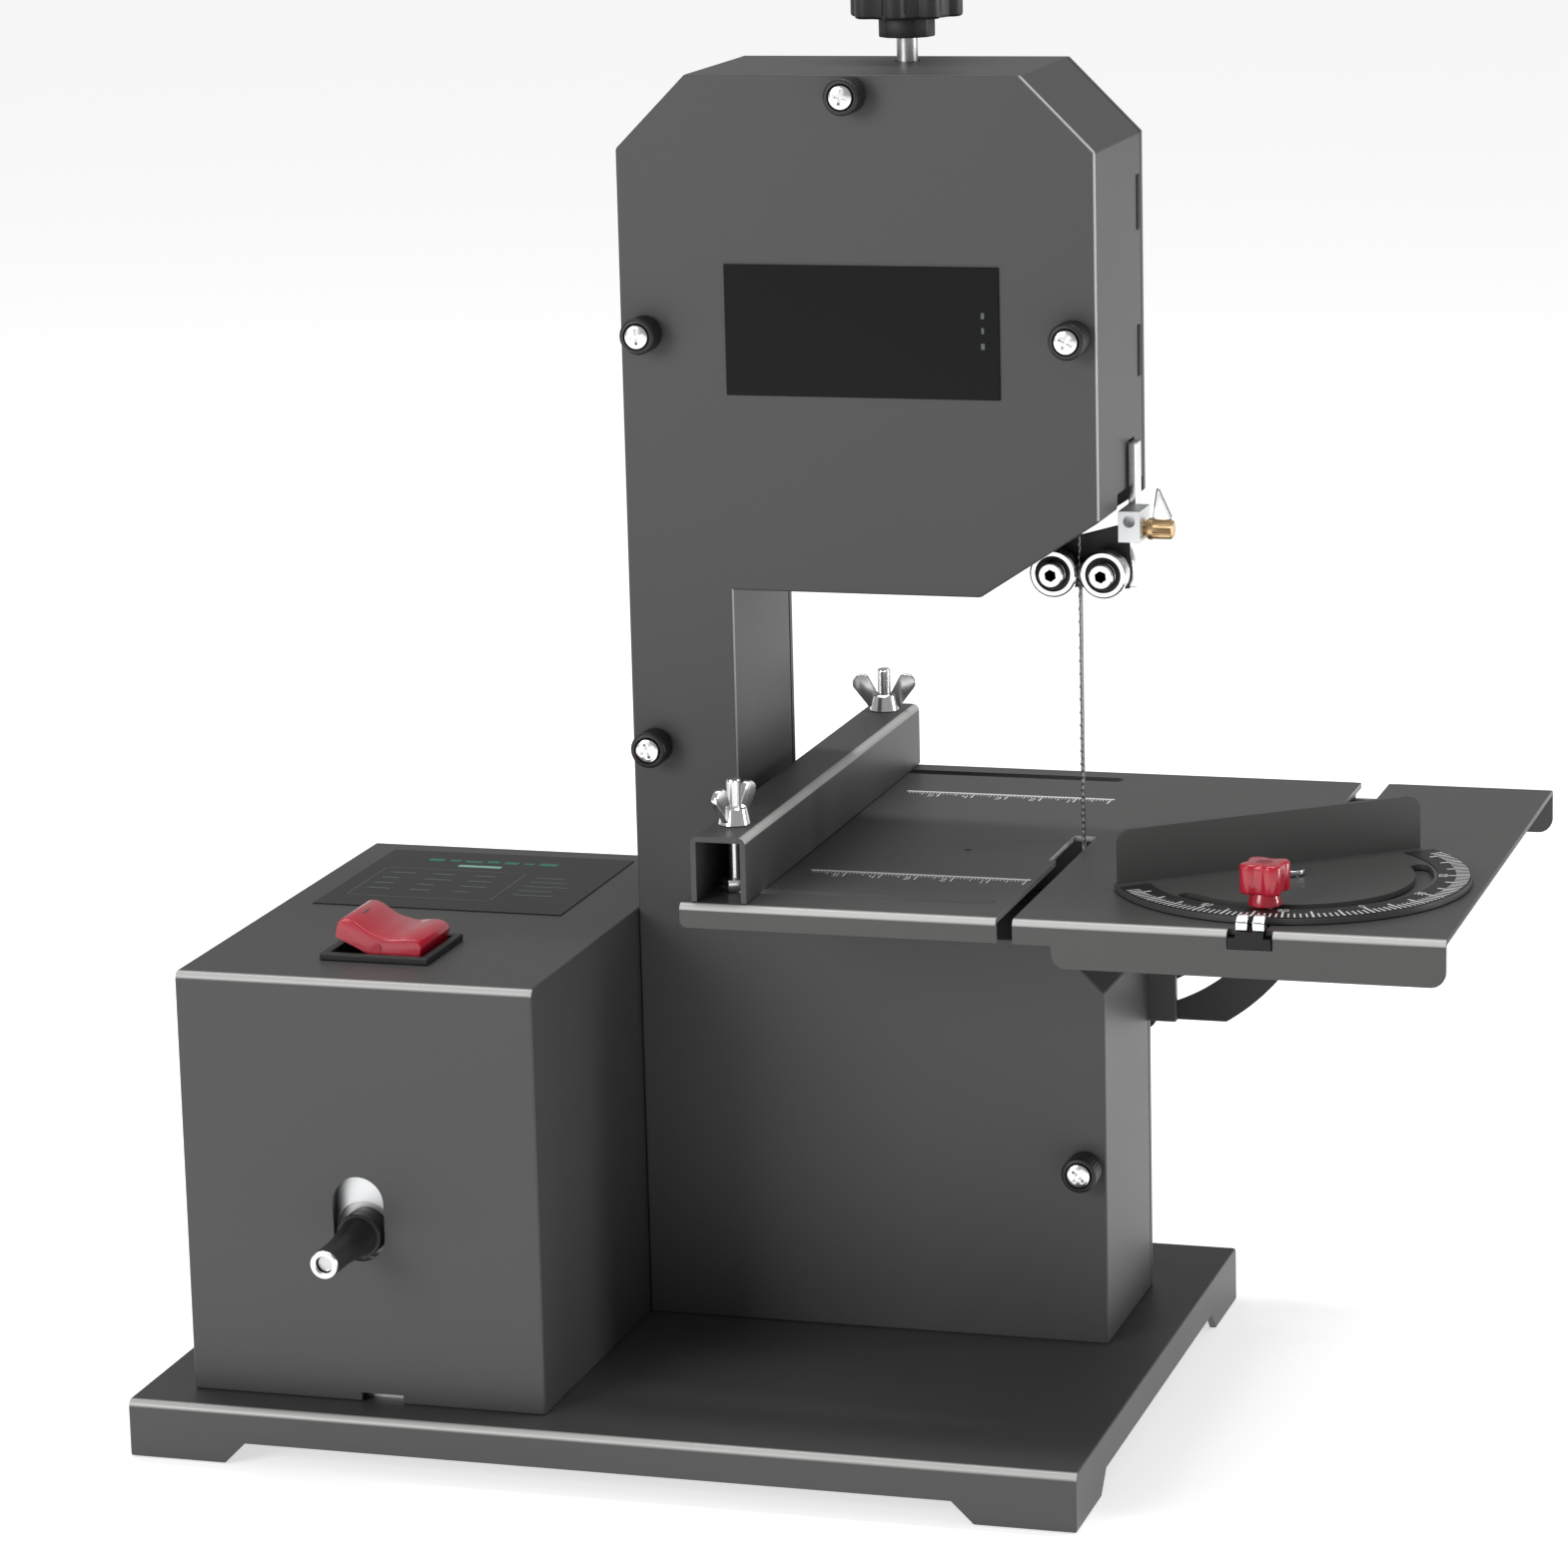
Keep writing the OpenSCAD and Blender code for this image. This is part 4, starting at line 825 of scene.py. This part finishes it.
# %% The toothed band
PITCH = 1.8 * MM
blade_low, blade_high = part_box("blade")
wheel_radius = (blade_high.x - blade_low.x) / 2 - 0.2 * MM
loop_x = (blade_high.x + blade_low.x) / 2
top_z, bottom_z = blade_high.z - 0.2 * MM - wheel_radius, blade_low.z + 0.2 * MM + wheel_radius
run = top_z - bottom_z
loop_length = 2 * run + math.tau * wheel_radius
teeth = round(loop_length / PITCH)
cell = loop_length / teeth
BAND_THICK = 0.4 * MM


def round_the_loop(along, outwards):
    """Where a distance along the loop lies in X-Z: up the right, over, down the left, under."""
    along %= loop_length
    bend = math.pi * wheel_radius
    reach = wheel_radius + outwards
    if along < run:
        return loop_x + reach, bottom_z + along
    along -= run
    if along < bend:
        a = along / wheel_radius
        return loop_x + reach * math.cos(a), top_z + reach * math.sin(a)
    along -= bend
    if along < run:
        return loop_x - reach, top_z - along
    a = (along - run) / wheel_radius
    return loop_x - reach * math.cos(a), bottom_z - reach * math.sin(a)


band = bmesh.new()
gullet, rake = 0.75 * MM, 0.3 * cell
front_y, back_y = blade_low.y, blade_high.y
toothed_side = [(0.0, front_y + gullet), (rake, front_y), (0.62 * cell, front_y + 0.55 * gullet),
                (cell, front_y + gullet)]
plain_side = [(cell, back_y), (0.0, back_y)]
strip = [band.verts.new((x, y, 0.0)) for x, y in toothed_side + plain_side]
band.faces.new(strip)
first = band.verts[:] + band.edges[:] + band.faces[:]
for tooth in range(1, teeth):
    copy = bmesh.ops.duplicate(band, geom=first)["geom"]
    bmesh.ops.translate(band, verts=[g for g in copy if isinstance(g, bmesh.types.BMVert)],
                        vec=(tooth * cell, 0, 0))
bmesh.ops.remove_doubles(band, verts=band.verts, dist=0.01 * MM)
for v in band.verts:
    number = int(v.co.x / cell)
    tip = v.co.y < front_y + 0.1 * MM
    setting = (0.14 * MM if number % 2 else -0.14 * MM) if tip else 0.0
    x, z = round_the_loop(v.co.x, setting)
    v.co = (x, v.co.y, z)
bmesh.ops.remove_doubles(band, verts=band.verts, dist=0.02 * MM)
bmesh.ops.recalc_face_normals(band, faces=band.faces)
blade = settle(band, "blade_toothed", "machine", "blade_steel", replaces=("blade",))
thickness = blade.modifiers.new("thickness", "SOLIDIFY")
thickness.thickness, thickness.offset = BAND_THICK, 0.0
print("blade:", teeth, "teeth, loop", round(loop_length, 4), "m")

# %% [markdown]
# ## Controls on the motor cover
# The rocker is one smooth curve pushed to a depth: low in the middle, a crest at each end, and
# leaning on its pivot. Its bezel and the label are flat, so all that they need is a soft rim.

# %% Rocker switch
bezel_low, bezel_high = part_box("switch_bezel")
ROCKER_HALF = 11.2 * MM
ROCKER_LEAN = math.radians(14)
PIVOT_OVER_BEZEL = 1.4 * MM
DIP, FLAT, CREST, TIP = 3.4 * MM, 1.5 * MM, 9.4 * MM, 12.2 * MM
CREST_RISE, TIP_FALL = 2.0 * MM, 1.6 * MM
bezel_middle = (bezel_low + bezel_high) / 2
rocker_place = (Matrix.Translation((bezel_middle.x, bezel_middle.y, bezel_high.z + PIVOT_OVER_BEZEL))
                @ Matrix.Rotation(ROCKER_LEAN, 4, "Y"))
STAND_UP = Matrix.Rotation(math.radians(90), 4, "X")


def rocker_height(x):
    """Height of the finger face over the pivot, at a distance x from the pivot."""
    climb = min(max((abs(x) - FLAT) / (CREST - FLAT), 0.0), 1.0)
    fall = max(abs(x) - CREST, 0.0) / (TIP - CREST)
    rounded = 1 - math.sqrt(max(1 - fall * fall, 0.0))
    return DIP + CREST_RISE * climb * climb * (3 - 2 * climb) - TIP_FALL * rounded


rocker_top = [(x, rocker_height(x)) for x in (TIP * (1 - k / 20) for k in range(41))]
rocker_belly = [(-12 * MM, -0.3 * MM), (0.0, -2.6 * MM), (12 * MM, -0.3 * MM)]
rocker_outline = rocker_belly + rocker_top
rocker_bm = moved(prism(rocker_outline, 2 * ROCKER_HALF), STAND_UP)
bmesh.ops.translate(rocker_bm, verts=rocker_bm.verts, vec=(0, ROCKER_HALF, 0))
end_rims = [e for e in rocker_bm.edges if abs(e.verts[0].co.y - e.verts[1].co.y) < WELD
            and min(v.co.z for v in e.verts) > 1 * MM]
round_edges(rocker_bm, end_rims, 0.5 * MM, 3)
STUB_OUT, STUB_RADIUS = 0.3 * MM, 1.4 * MM
stub_long = 2 * (ROCKER_HALF + STUB_OUT)
stub = lathe([(0, 0), (0, STUB_RADIUS), (stub_long, STUB_RADIUS), (stub_long, 0)], 24)
merge_into(rocker_bm, moved(stub, aimed((0, -ROCKER_HALF - STUB_OUT, 0), (0, 1, 0))))
settle(moved(rocker_bm, rocker_place), "rocker_curved", body_of_node["rocker"], "red_plastic",
       replaces=["rocker"])

# The bar that stands for "on", printed near the crest
crest = rocker_height(8.6 * MM)
mark = block((-8.8 * MM, -2.4 * MM, crest - 0.02 * MM), (-8.3 * MM, 2.4 * MM, crest + 0.08 * MM))
settle(moved(mark, rocker_place), "rocker_mark", body_of_node["rocker"], "grey_ink")
eased_copy("switch_bezel", "black_plastic", 0.4 * MM, 3)

# %% [markdown]
# Print is a real layer a few hundredths of a millimetre thick. The rows of the control label are
# plain bars: they show where the words would be, and say nothing.

# %% Print on the control label
label_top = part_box("control_label")[1].z
INK = 0.03 * MM


def bars(name, body, finish_name, rows, top):
    """Printed bars: each row is (x0, y0, x1, y1) in millimetres, on a level surface."""
    bm = bmesh.new()
    for x0, y0, x1, y1 in rows:
        merge_into(bm, block((x0 * MM, y0 * MM, top), (x1 * MM, y1 * MM, top + INK)))
    return settle(bm, name, body, finish_name)


label_body = body_of_node["control_label"]
heading = [(x, 45.6 + 0.5 * (k % 2), x + w, 48.4 - 0.4 * (k % 3)) for k, (x, w) in
           enumerate([(-94.0, 4.6), (-87.6, 3.4), (-82.8, 5.2), (-76.2, 3.6), (-71.0, 4.4),
                      (-65.0, 3.2), (-60.4, 5.6)])]
bars("label_heading", label_body, "green_ink", heading, label_top)
bars("label_block", label_body, "mint_ink", [(-83.0, 40.2, -70.0, 42.4)], label_top)
frame_rows = [(-103.0, 3.0, -60.0, 3.4), (-103.0, 35.6, -60.0, 36.0), (-103.0, 3.0, -102.6, 36.0),
              (-60.4, 3.0, -60.0, 36.0)]
inside_rows = [(-100.0 + 13.0 * (k % 3), 30.0 - 6.2 * (k // 3), -92.0 + 13.0 * (k % 3) - (k * 5 % 4),
                31.0 - 6.2 * (k // 3)) for k in range(12)]
side_rows = [(-56.0, 31.0 - 5.0 * k, -47.0 + (k * 7 % 5), 31.9 - 5.0 * k) for k in range(5)]
bars("label_rows", label_body, "grey_ink", frame_rows + inside_rows + side_rows, label_top)
eased_copy("control_label", "gloss_black", 0.1 * MM)

# %% Front panel and its three small marks
panel_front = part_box("front_panel")[0].y
MARKS_X = 85.2 * MM
eased_copy("front_panel", "gloss_black", 0.2 * MM)
panel_marks = bmesh.new()
for height, half_wide in ((300.8, 0.45), (296.8, 0.35), (292.6, 0.5)):
    merge_into(panel_marks, block((MARKS_X - half_wide * MM, panel_front - INK, (height - 1.0) * MM),
                                  (MARKS_X + half_wide * MM, panel_front, (height + 0.6) * MM)))
settle(panel_marks, "front_panel_marks", body_of_node["front_panel"], "grey_ink")

# %% Painted shade: two black strips on the right wall of the wheel housing stand for the dark slots there
slot_shade_strips = bmesh.new()
wall_x = house_high.x
for low, high in ((318 * MM, 333 * MM), (278 * MM, 292 * MM)):
    merge_into(slot_shade_strips, block((wall_x - 0.1 * MM, 51.8 * MM, low), (wall_x + 0.3 * MM, 54.6 * MM, high),
                             0.12 * MM))
settle(slot_shade_strips, "housing_slot_shade_strips", body_of_node["front_cover"], "rubber")

# %% [markdown]
# The end of the motor's spindle sticks out of the box for drills and sanding heads. It is a black
# sleeve that thins towards its nose, with a bright ring round the mouth.

# %% Spindle
spindle_low, spindle_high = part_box("spindle_sleeve")
spindle_middle = (spindle_low + spindle_high) / 2
spindle_place = aimed((spindle_middle.x, spindle_low.y, spindle_middle.z), (0, 1, 0))
# Distances from the nose and radii, in millimetres
SLEEVE = [(10, 0), (10, 2.4), (0.9, 2.4), (0.9, 3.9), (12, 3.9), (24.9, 5.2), (25.2, 5.4), (25.2, 5.9),
             (25.5, 6.2), (31.5, 6.2), (31.8, 5.9), (31.8, 3), (20.2, 3), (20.2, 0)]
MOUTH = [(0.9, 2.4), (0.1, 2.4), (0, 2.55), (0, 3.5), (0.12, 3.74), (0.4, 3.88), (0.9, 3.9), (0.9, 2.4)]


def turned(profile, place, steps=48):
    return moved(lathe([(height * MM, radius * MM) for height, radius in profile], steps), place)


settle(turned(SLEEVE, spindle_place), "spindle_turned", body_of_node["spindle_sleeve"],
       "black_plastic", replaces=["spindle_sleeve"])
settle(turned(MOUTH, spindle_place), "spindle_mouth", body_of_node["spindle_sleeve"], "bright_steel")
settle(turned([(1.6, 0), (1.6, 2.1), (2.4, 2.1), (2.4, 0)], spindle_place), "spindle_bottom",
       body_of_node["spindle_sleeve"], "steel")

# %% [markdown]
# ## Knobs
# A lobed knob is a round bar with fingers grown on it. Its outline is written as one radius for
# each angle: the larger of the core's radius and the reach of the nearest finger.

# %% Lobed outlines
def lobed(core, centre, finger, count, start=0.0, steps=144):
    """Outline of a core circle with round fingers whose centres lie on a ring."""
    outline = []
    for k in range(steps):
        angle = math.tau * k / steps
        offset = (angle - start + math.pi / count) % (math.tau / count) - math.pi / count
        inside = finger * finger - (centre * math.sin(offset)) ** 2
        reach = centre * math.cos(offset) + math.sqrt(inside) if inside > 0 else 0.0
        radius = max(core, reach)
        outline.append((radius * math.cos(angle), radius * math.sin(angle)))
    return outline


def rounded_prism(outline, depth, rounding, segments=3):
    """Pushed outline whose two rims are rounded but whose sides stay smooth."""
    bm = prism(outline, depth)
    rims = [e for e in bm.edges if abs(e.verts[0].co.z - e.verts[1].co.z) < WELD]
    round_edges(bm, rims, rounding, segments)
    return bm


# %% Tension knob
knob_low, knob_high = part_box("tension_knob")
knob_foot = Matrix.Translation((*((knob_low + knob_high) / 2).xy, knob_low.z))
knob_bm = moved(rounded_prism(lobed(13.4 * MM, 12.5 * MM, 3.2 * MM, 8), 14 * MM, 0.9 * MM),
                Matrix.Translation((0, 0, 5.4 * MM)))
merge_into(knob_bm, ease(prism(ring_points(7.9 * MM, 12), 6 * MM), 0.4 * MM, 2))
crown = lathe([(19.2 * MM, 0), (19.2 * MM, 12.6 * MM), (19.6 * MM, 12.5 * MM), (21.0 * MM, 11.4 * MM),
               (20.6 * MM, 10.6 * MM), (20.4 * MM, 4.2 * MM), (20.9 * MM, 3.8 * MM), (20.9 * MM, 0)], 64)
merge_into(knob_bm, crown)
settle(moved(knob_bm, knob_foot), "tension_knob_lobed", body_of_node["tension_knob"],
       "black_plastic", replaces=["tension_knob"])

# %% Lock knob of the mitre gauge, with its stud
lock_low, lock_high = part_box("mitre_knob")
lock_foot = Matrix.Translation((*((lock_low + lock_high) / 2).xy, lock_low.z))
lock_bm = moved(rounded_prism(lobed(5 * MM, 4.2 * MM, 2.7 * MM, 4, math.radians(35), 96), 8 * MM, 0.8 * MM),
                Matrix.Translation((0, 0, 10.3 * MM)))
merge_into(lock_bm, lathe([(6.7 * MM, 0), (6.7 * MM, 4.1 * MM), (7.0 * MM, 4.4 * MM), (8.2 * MM, 4.3 * MM),
                           (10.4 * MM, 3.6 * MM), (10.4 * MM, 0)], 40))
merge_into(lock_bm, lathe([(18.2 * MM, 0), (18.2 * MM, 2.2 * MM), (18.3 * MM, 2.2 * MM), (18.3 * MM, 0)], 32))
settle(moved(lock_bm, lock_foot), "mitre_knob_lobed", body_of_node["mitre_knob"],
       "red_plastic", replaces=["mitre_knob"])
stud = lathe([(0, 0), (0, 1.7 * MM), (0.3 * MM, 2 * MM), (6.9 * MM, 2 * MM), (6.9 * MM, 0)], 28)
settle(moved(stud, lock_foot), "mitre_knob_stud", body_of_node["mitre_knob"], "steel")

# %% Other small parts with broken edges
for node_name, finish_name, radius in (("mitre_pointer", "bright_steel", 0.3),
                                       ("mitre_bar", "black_oxide", 0.3),
                                       ("mitre_pin", "bright_steel", 0.3),
                                       ("tilt_knob", "black_plastic", 0.5),
                                       ("power_inlet", "black_plastic", 0.4)):
    eased_copy(node_name, finish_name, radius * MM)

# %% [markdown]
# ## Scales
# Numbers are drawn as a calculator draws them, from seven strokes. That is enough at two
# millimetres high, and it needs no font.

# %% Strokes and numbers
STROKES = {"a": (0, 2, 1, 2), "b": (1, 1, 1, 2), "c": (1, 0, 1, 1), "d": (0, 0, 1, 0), "e": (0, 0, 0, 1),
           "f": (0, 1, 0, 2), "g": (0, 1, 1, 1)}
DIGITS = {"0": "abcdef", "1": "bc", "2": "abged", "3": "abgcd", "4": "fgbc", "5": "afgcd",
          "6": "afgedc", "7": "abc", "8": "abcdefg", "9": "abfgcd"}


def stroke(bm, start, end, width, thickness=0.05 * MM):
    """A flat bar from one point to another, in X-Y at height 0."""
    start, end = Vector(start), Vector(end)
    along = (end - start).normalized() * (width / 2)
    across = Vector((-along.y, along.x))
    corners = [start - along - across, end + along - across, end + along + across, start - along + across]
    merge_into(bm, prism([tuple(corner) for corner in corners], thickness))


def number(bm, text, centre, height, turn=0.0):
    """Stroke digits, centred on a point and turned about it."""
    half, step = height / 2, height * 0.78
    digits = bmesh.new()
    for k, digit in enumerate(text):
        left = (k - (len(text) - 1) / 2) * step - height / 4
        for key in DIGITS[digit]:
            x0, y0, x1, y1 = STROKES[key]
            stroke(digits, (left + x0 * half, y0 * half - half), (left + x1 * half, y1 * half - half),
                   height * 0.13)
    spin = Matrix.Translation((centre[0], centre[1], 0)) @ Matrix.Rotation(turn, 4, "Z")
    merge_into(bm, moved(digits, spin))


# %% Rules beside the blade, numbered in centimetres
rule_low, rule_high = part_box("table_scales")
rules = bmesh.new()
RULE_LONG = 60
LINE_WIDE = 1.2 * MM
# Length and width of the marks at every 10 mm, 5 mm and 1 mm
CENTIMETRE, HALF_CENTIMETRE, MILLIMETRE = (4.6, 0.42), (3.0, 0.26), (1.8, 0.2)
for line_y in (-14.9 * MM, 82.5 * MM):
    marks_y = line_y - LINE_WIDE / 2
    stroke(rules, (rule_high.x - RULE_LONG * MM, line_y), (rule_high.x, line_y), LINE_WIDE)
    for k in range(RULE_LONG):
        x = rule_high.x - (k + 0.3) * MM
        length, width = CENTIMETRE if k % 10 == 0 else HALF_CENTIMETRE if k % 5 == 0 else MILLIMETRE
        stroke(rules, (x, marks_y), (x, marks_y - length * MM), width * MM)
        if k % 10 == 0 and k:
            number(rules, str(k // 10), (x - 2.2 * MM, line_y - 4.4 * MM), 2.6 * MM)
settle(moved(rules, Matrix.Translation((0, 0, rule_low.z))), "rule_print",
       body_of_node["table_scales"], "white_ink", replaces=["table_scales"])

# %% Degrees on the protractor
ring_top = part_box("mitre_scale")[1].z
pin_low, pin_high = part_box("mitre_pin")
pivot = (pin_low + pin_high) / 2
SET_ANGLE = 38.3
RING_EDGE, LONG_FROM, SHORT_FROM, NUMBERS_AT = 46.8, 41.6, 43.6, 40.0
degrees_bm = bmesh.new()
for angle in range(-184, 5, 2):
    turn = math.radians(angle + SET_ANGLE)
    outward = Vector((math.cos(turn), math.sin(turn)))
    inner, width = (LONG_FROM, 0.55) if angle % 10 == 0 else (SHORT_FROM, 0.4)
    stroke(degrees_bm, outward * inner * MM, outward * RING_EDGE * MM, width * MM)
    if angle % 30 == 0 and -180 < angle < 0:
        number(degrees_bm, str(abs(90 + angle)), outward * NUMBERS_AT * MM, 2.0 * MM, turn + math.pi / 2)
settle(moved(degrees_bm, Matrix.Translation((pivot.x, pivot.y, ring_top))), "protractor_print",
       body_of_node["mitre_scale"], "white_ink")

# %% Finishes that differ from the slot
NODE_FINISH = {"guide_arm": "dark_paint", "mitre_scale": "black_plastic", "tension_rails": "dark_paint"}


# %% [markdown]
# ## Dressing the frame
# Every part of the frame gets its finish from the slot that the working model names for it,
# except a few listed in NODE_FINISH, which take another finish. Parts that a finer piece stands
# for are hidden, so their finish does not show.

# %% Finish every part of the frame
SLOT_OF_NODE = {row["node"]: row["material_slot"] for row in frame["record"]["subparts"]}

for node_name, node in nodes.items():
    material = FINISHES[NODE_FINISH.get(node_name, SLOT_OF_NODE[node_name])]
    if not node.data.materials:
        node.data.materials.append(material)
    for place in range(len(node.data.materials)):
        node.data.materials[place] = material
print("dressed:", len(nodes), "nodes")
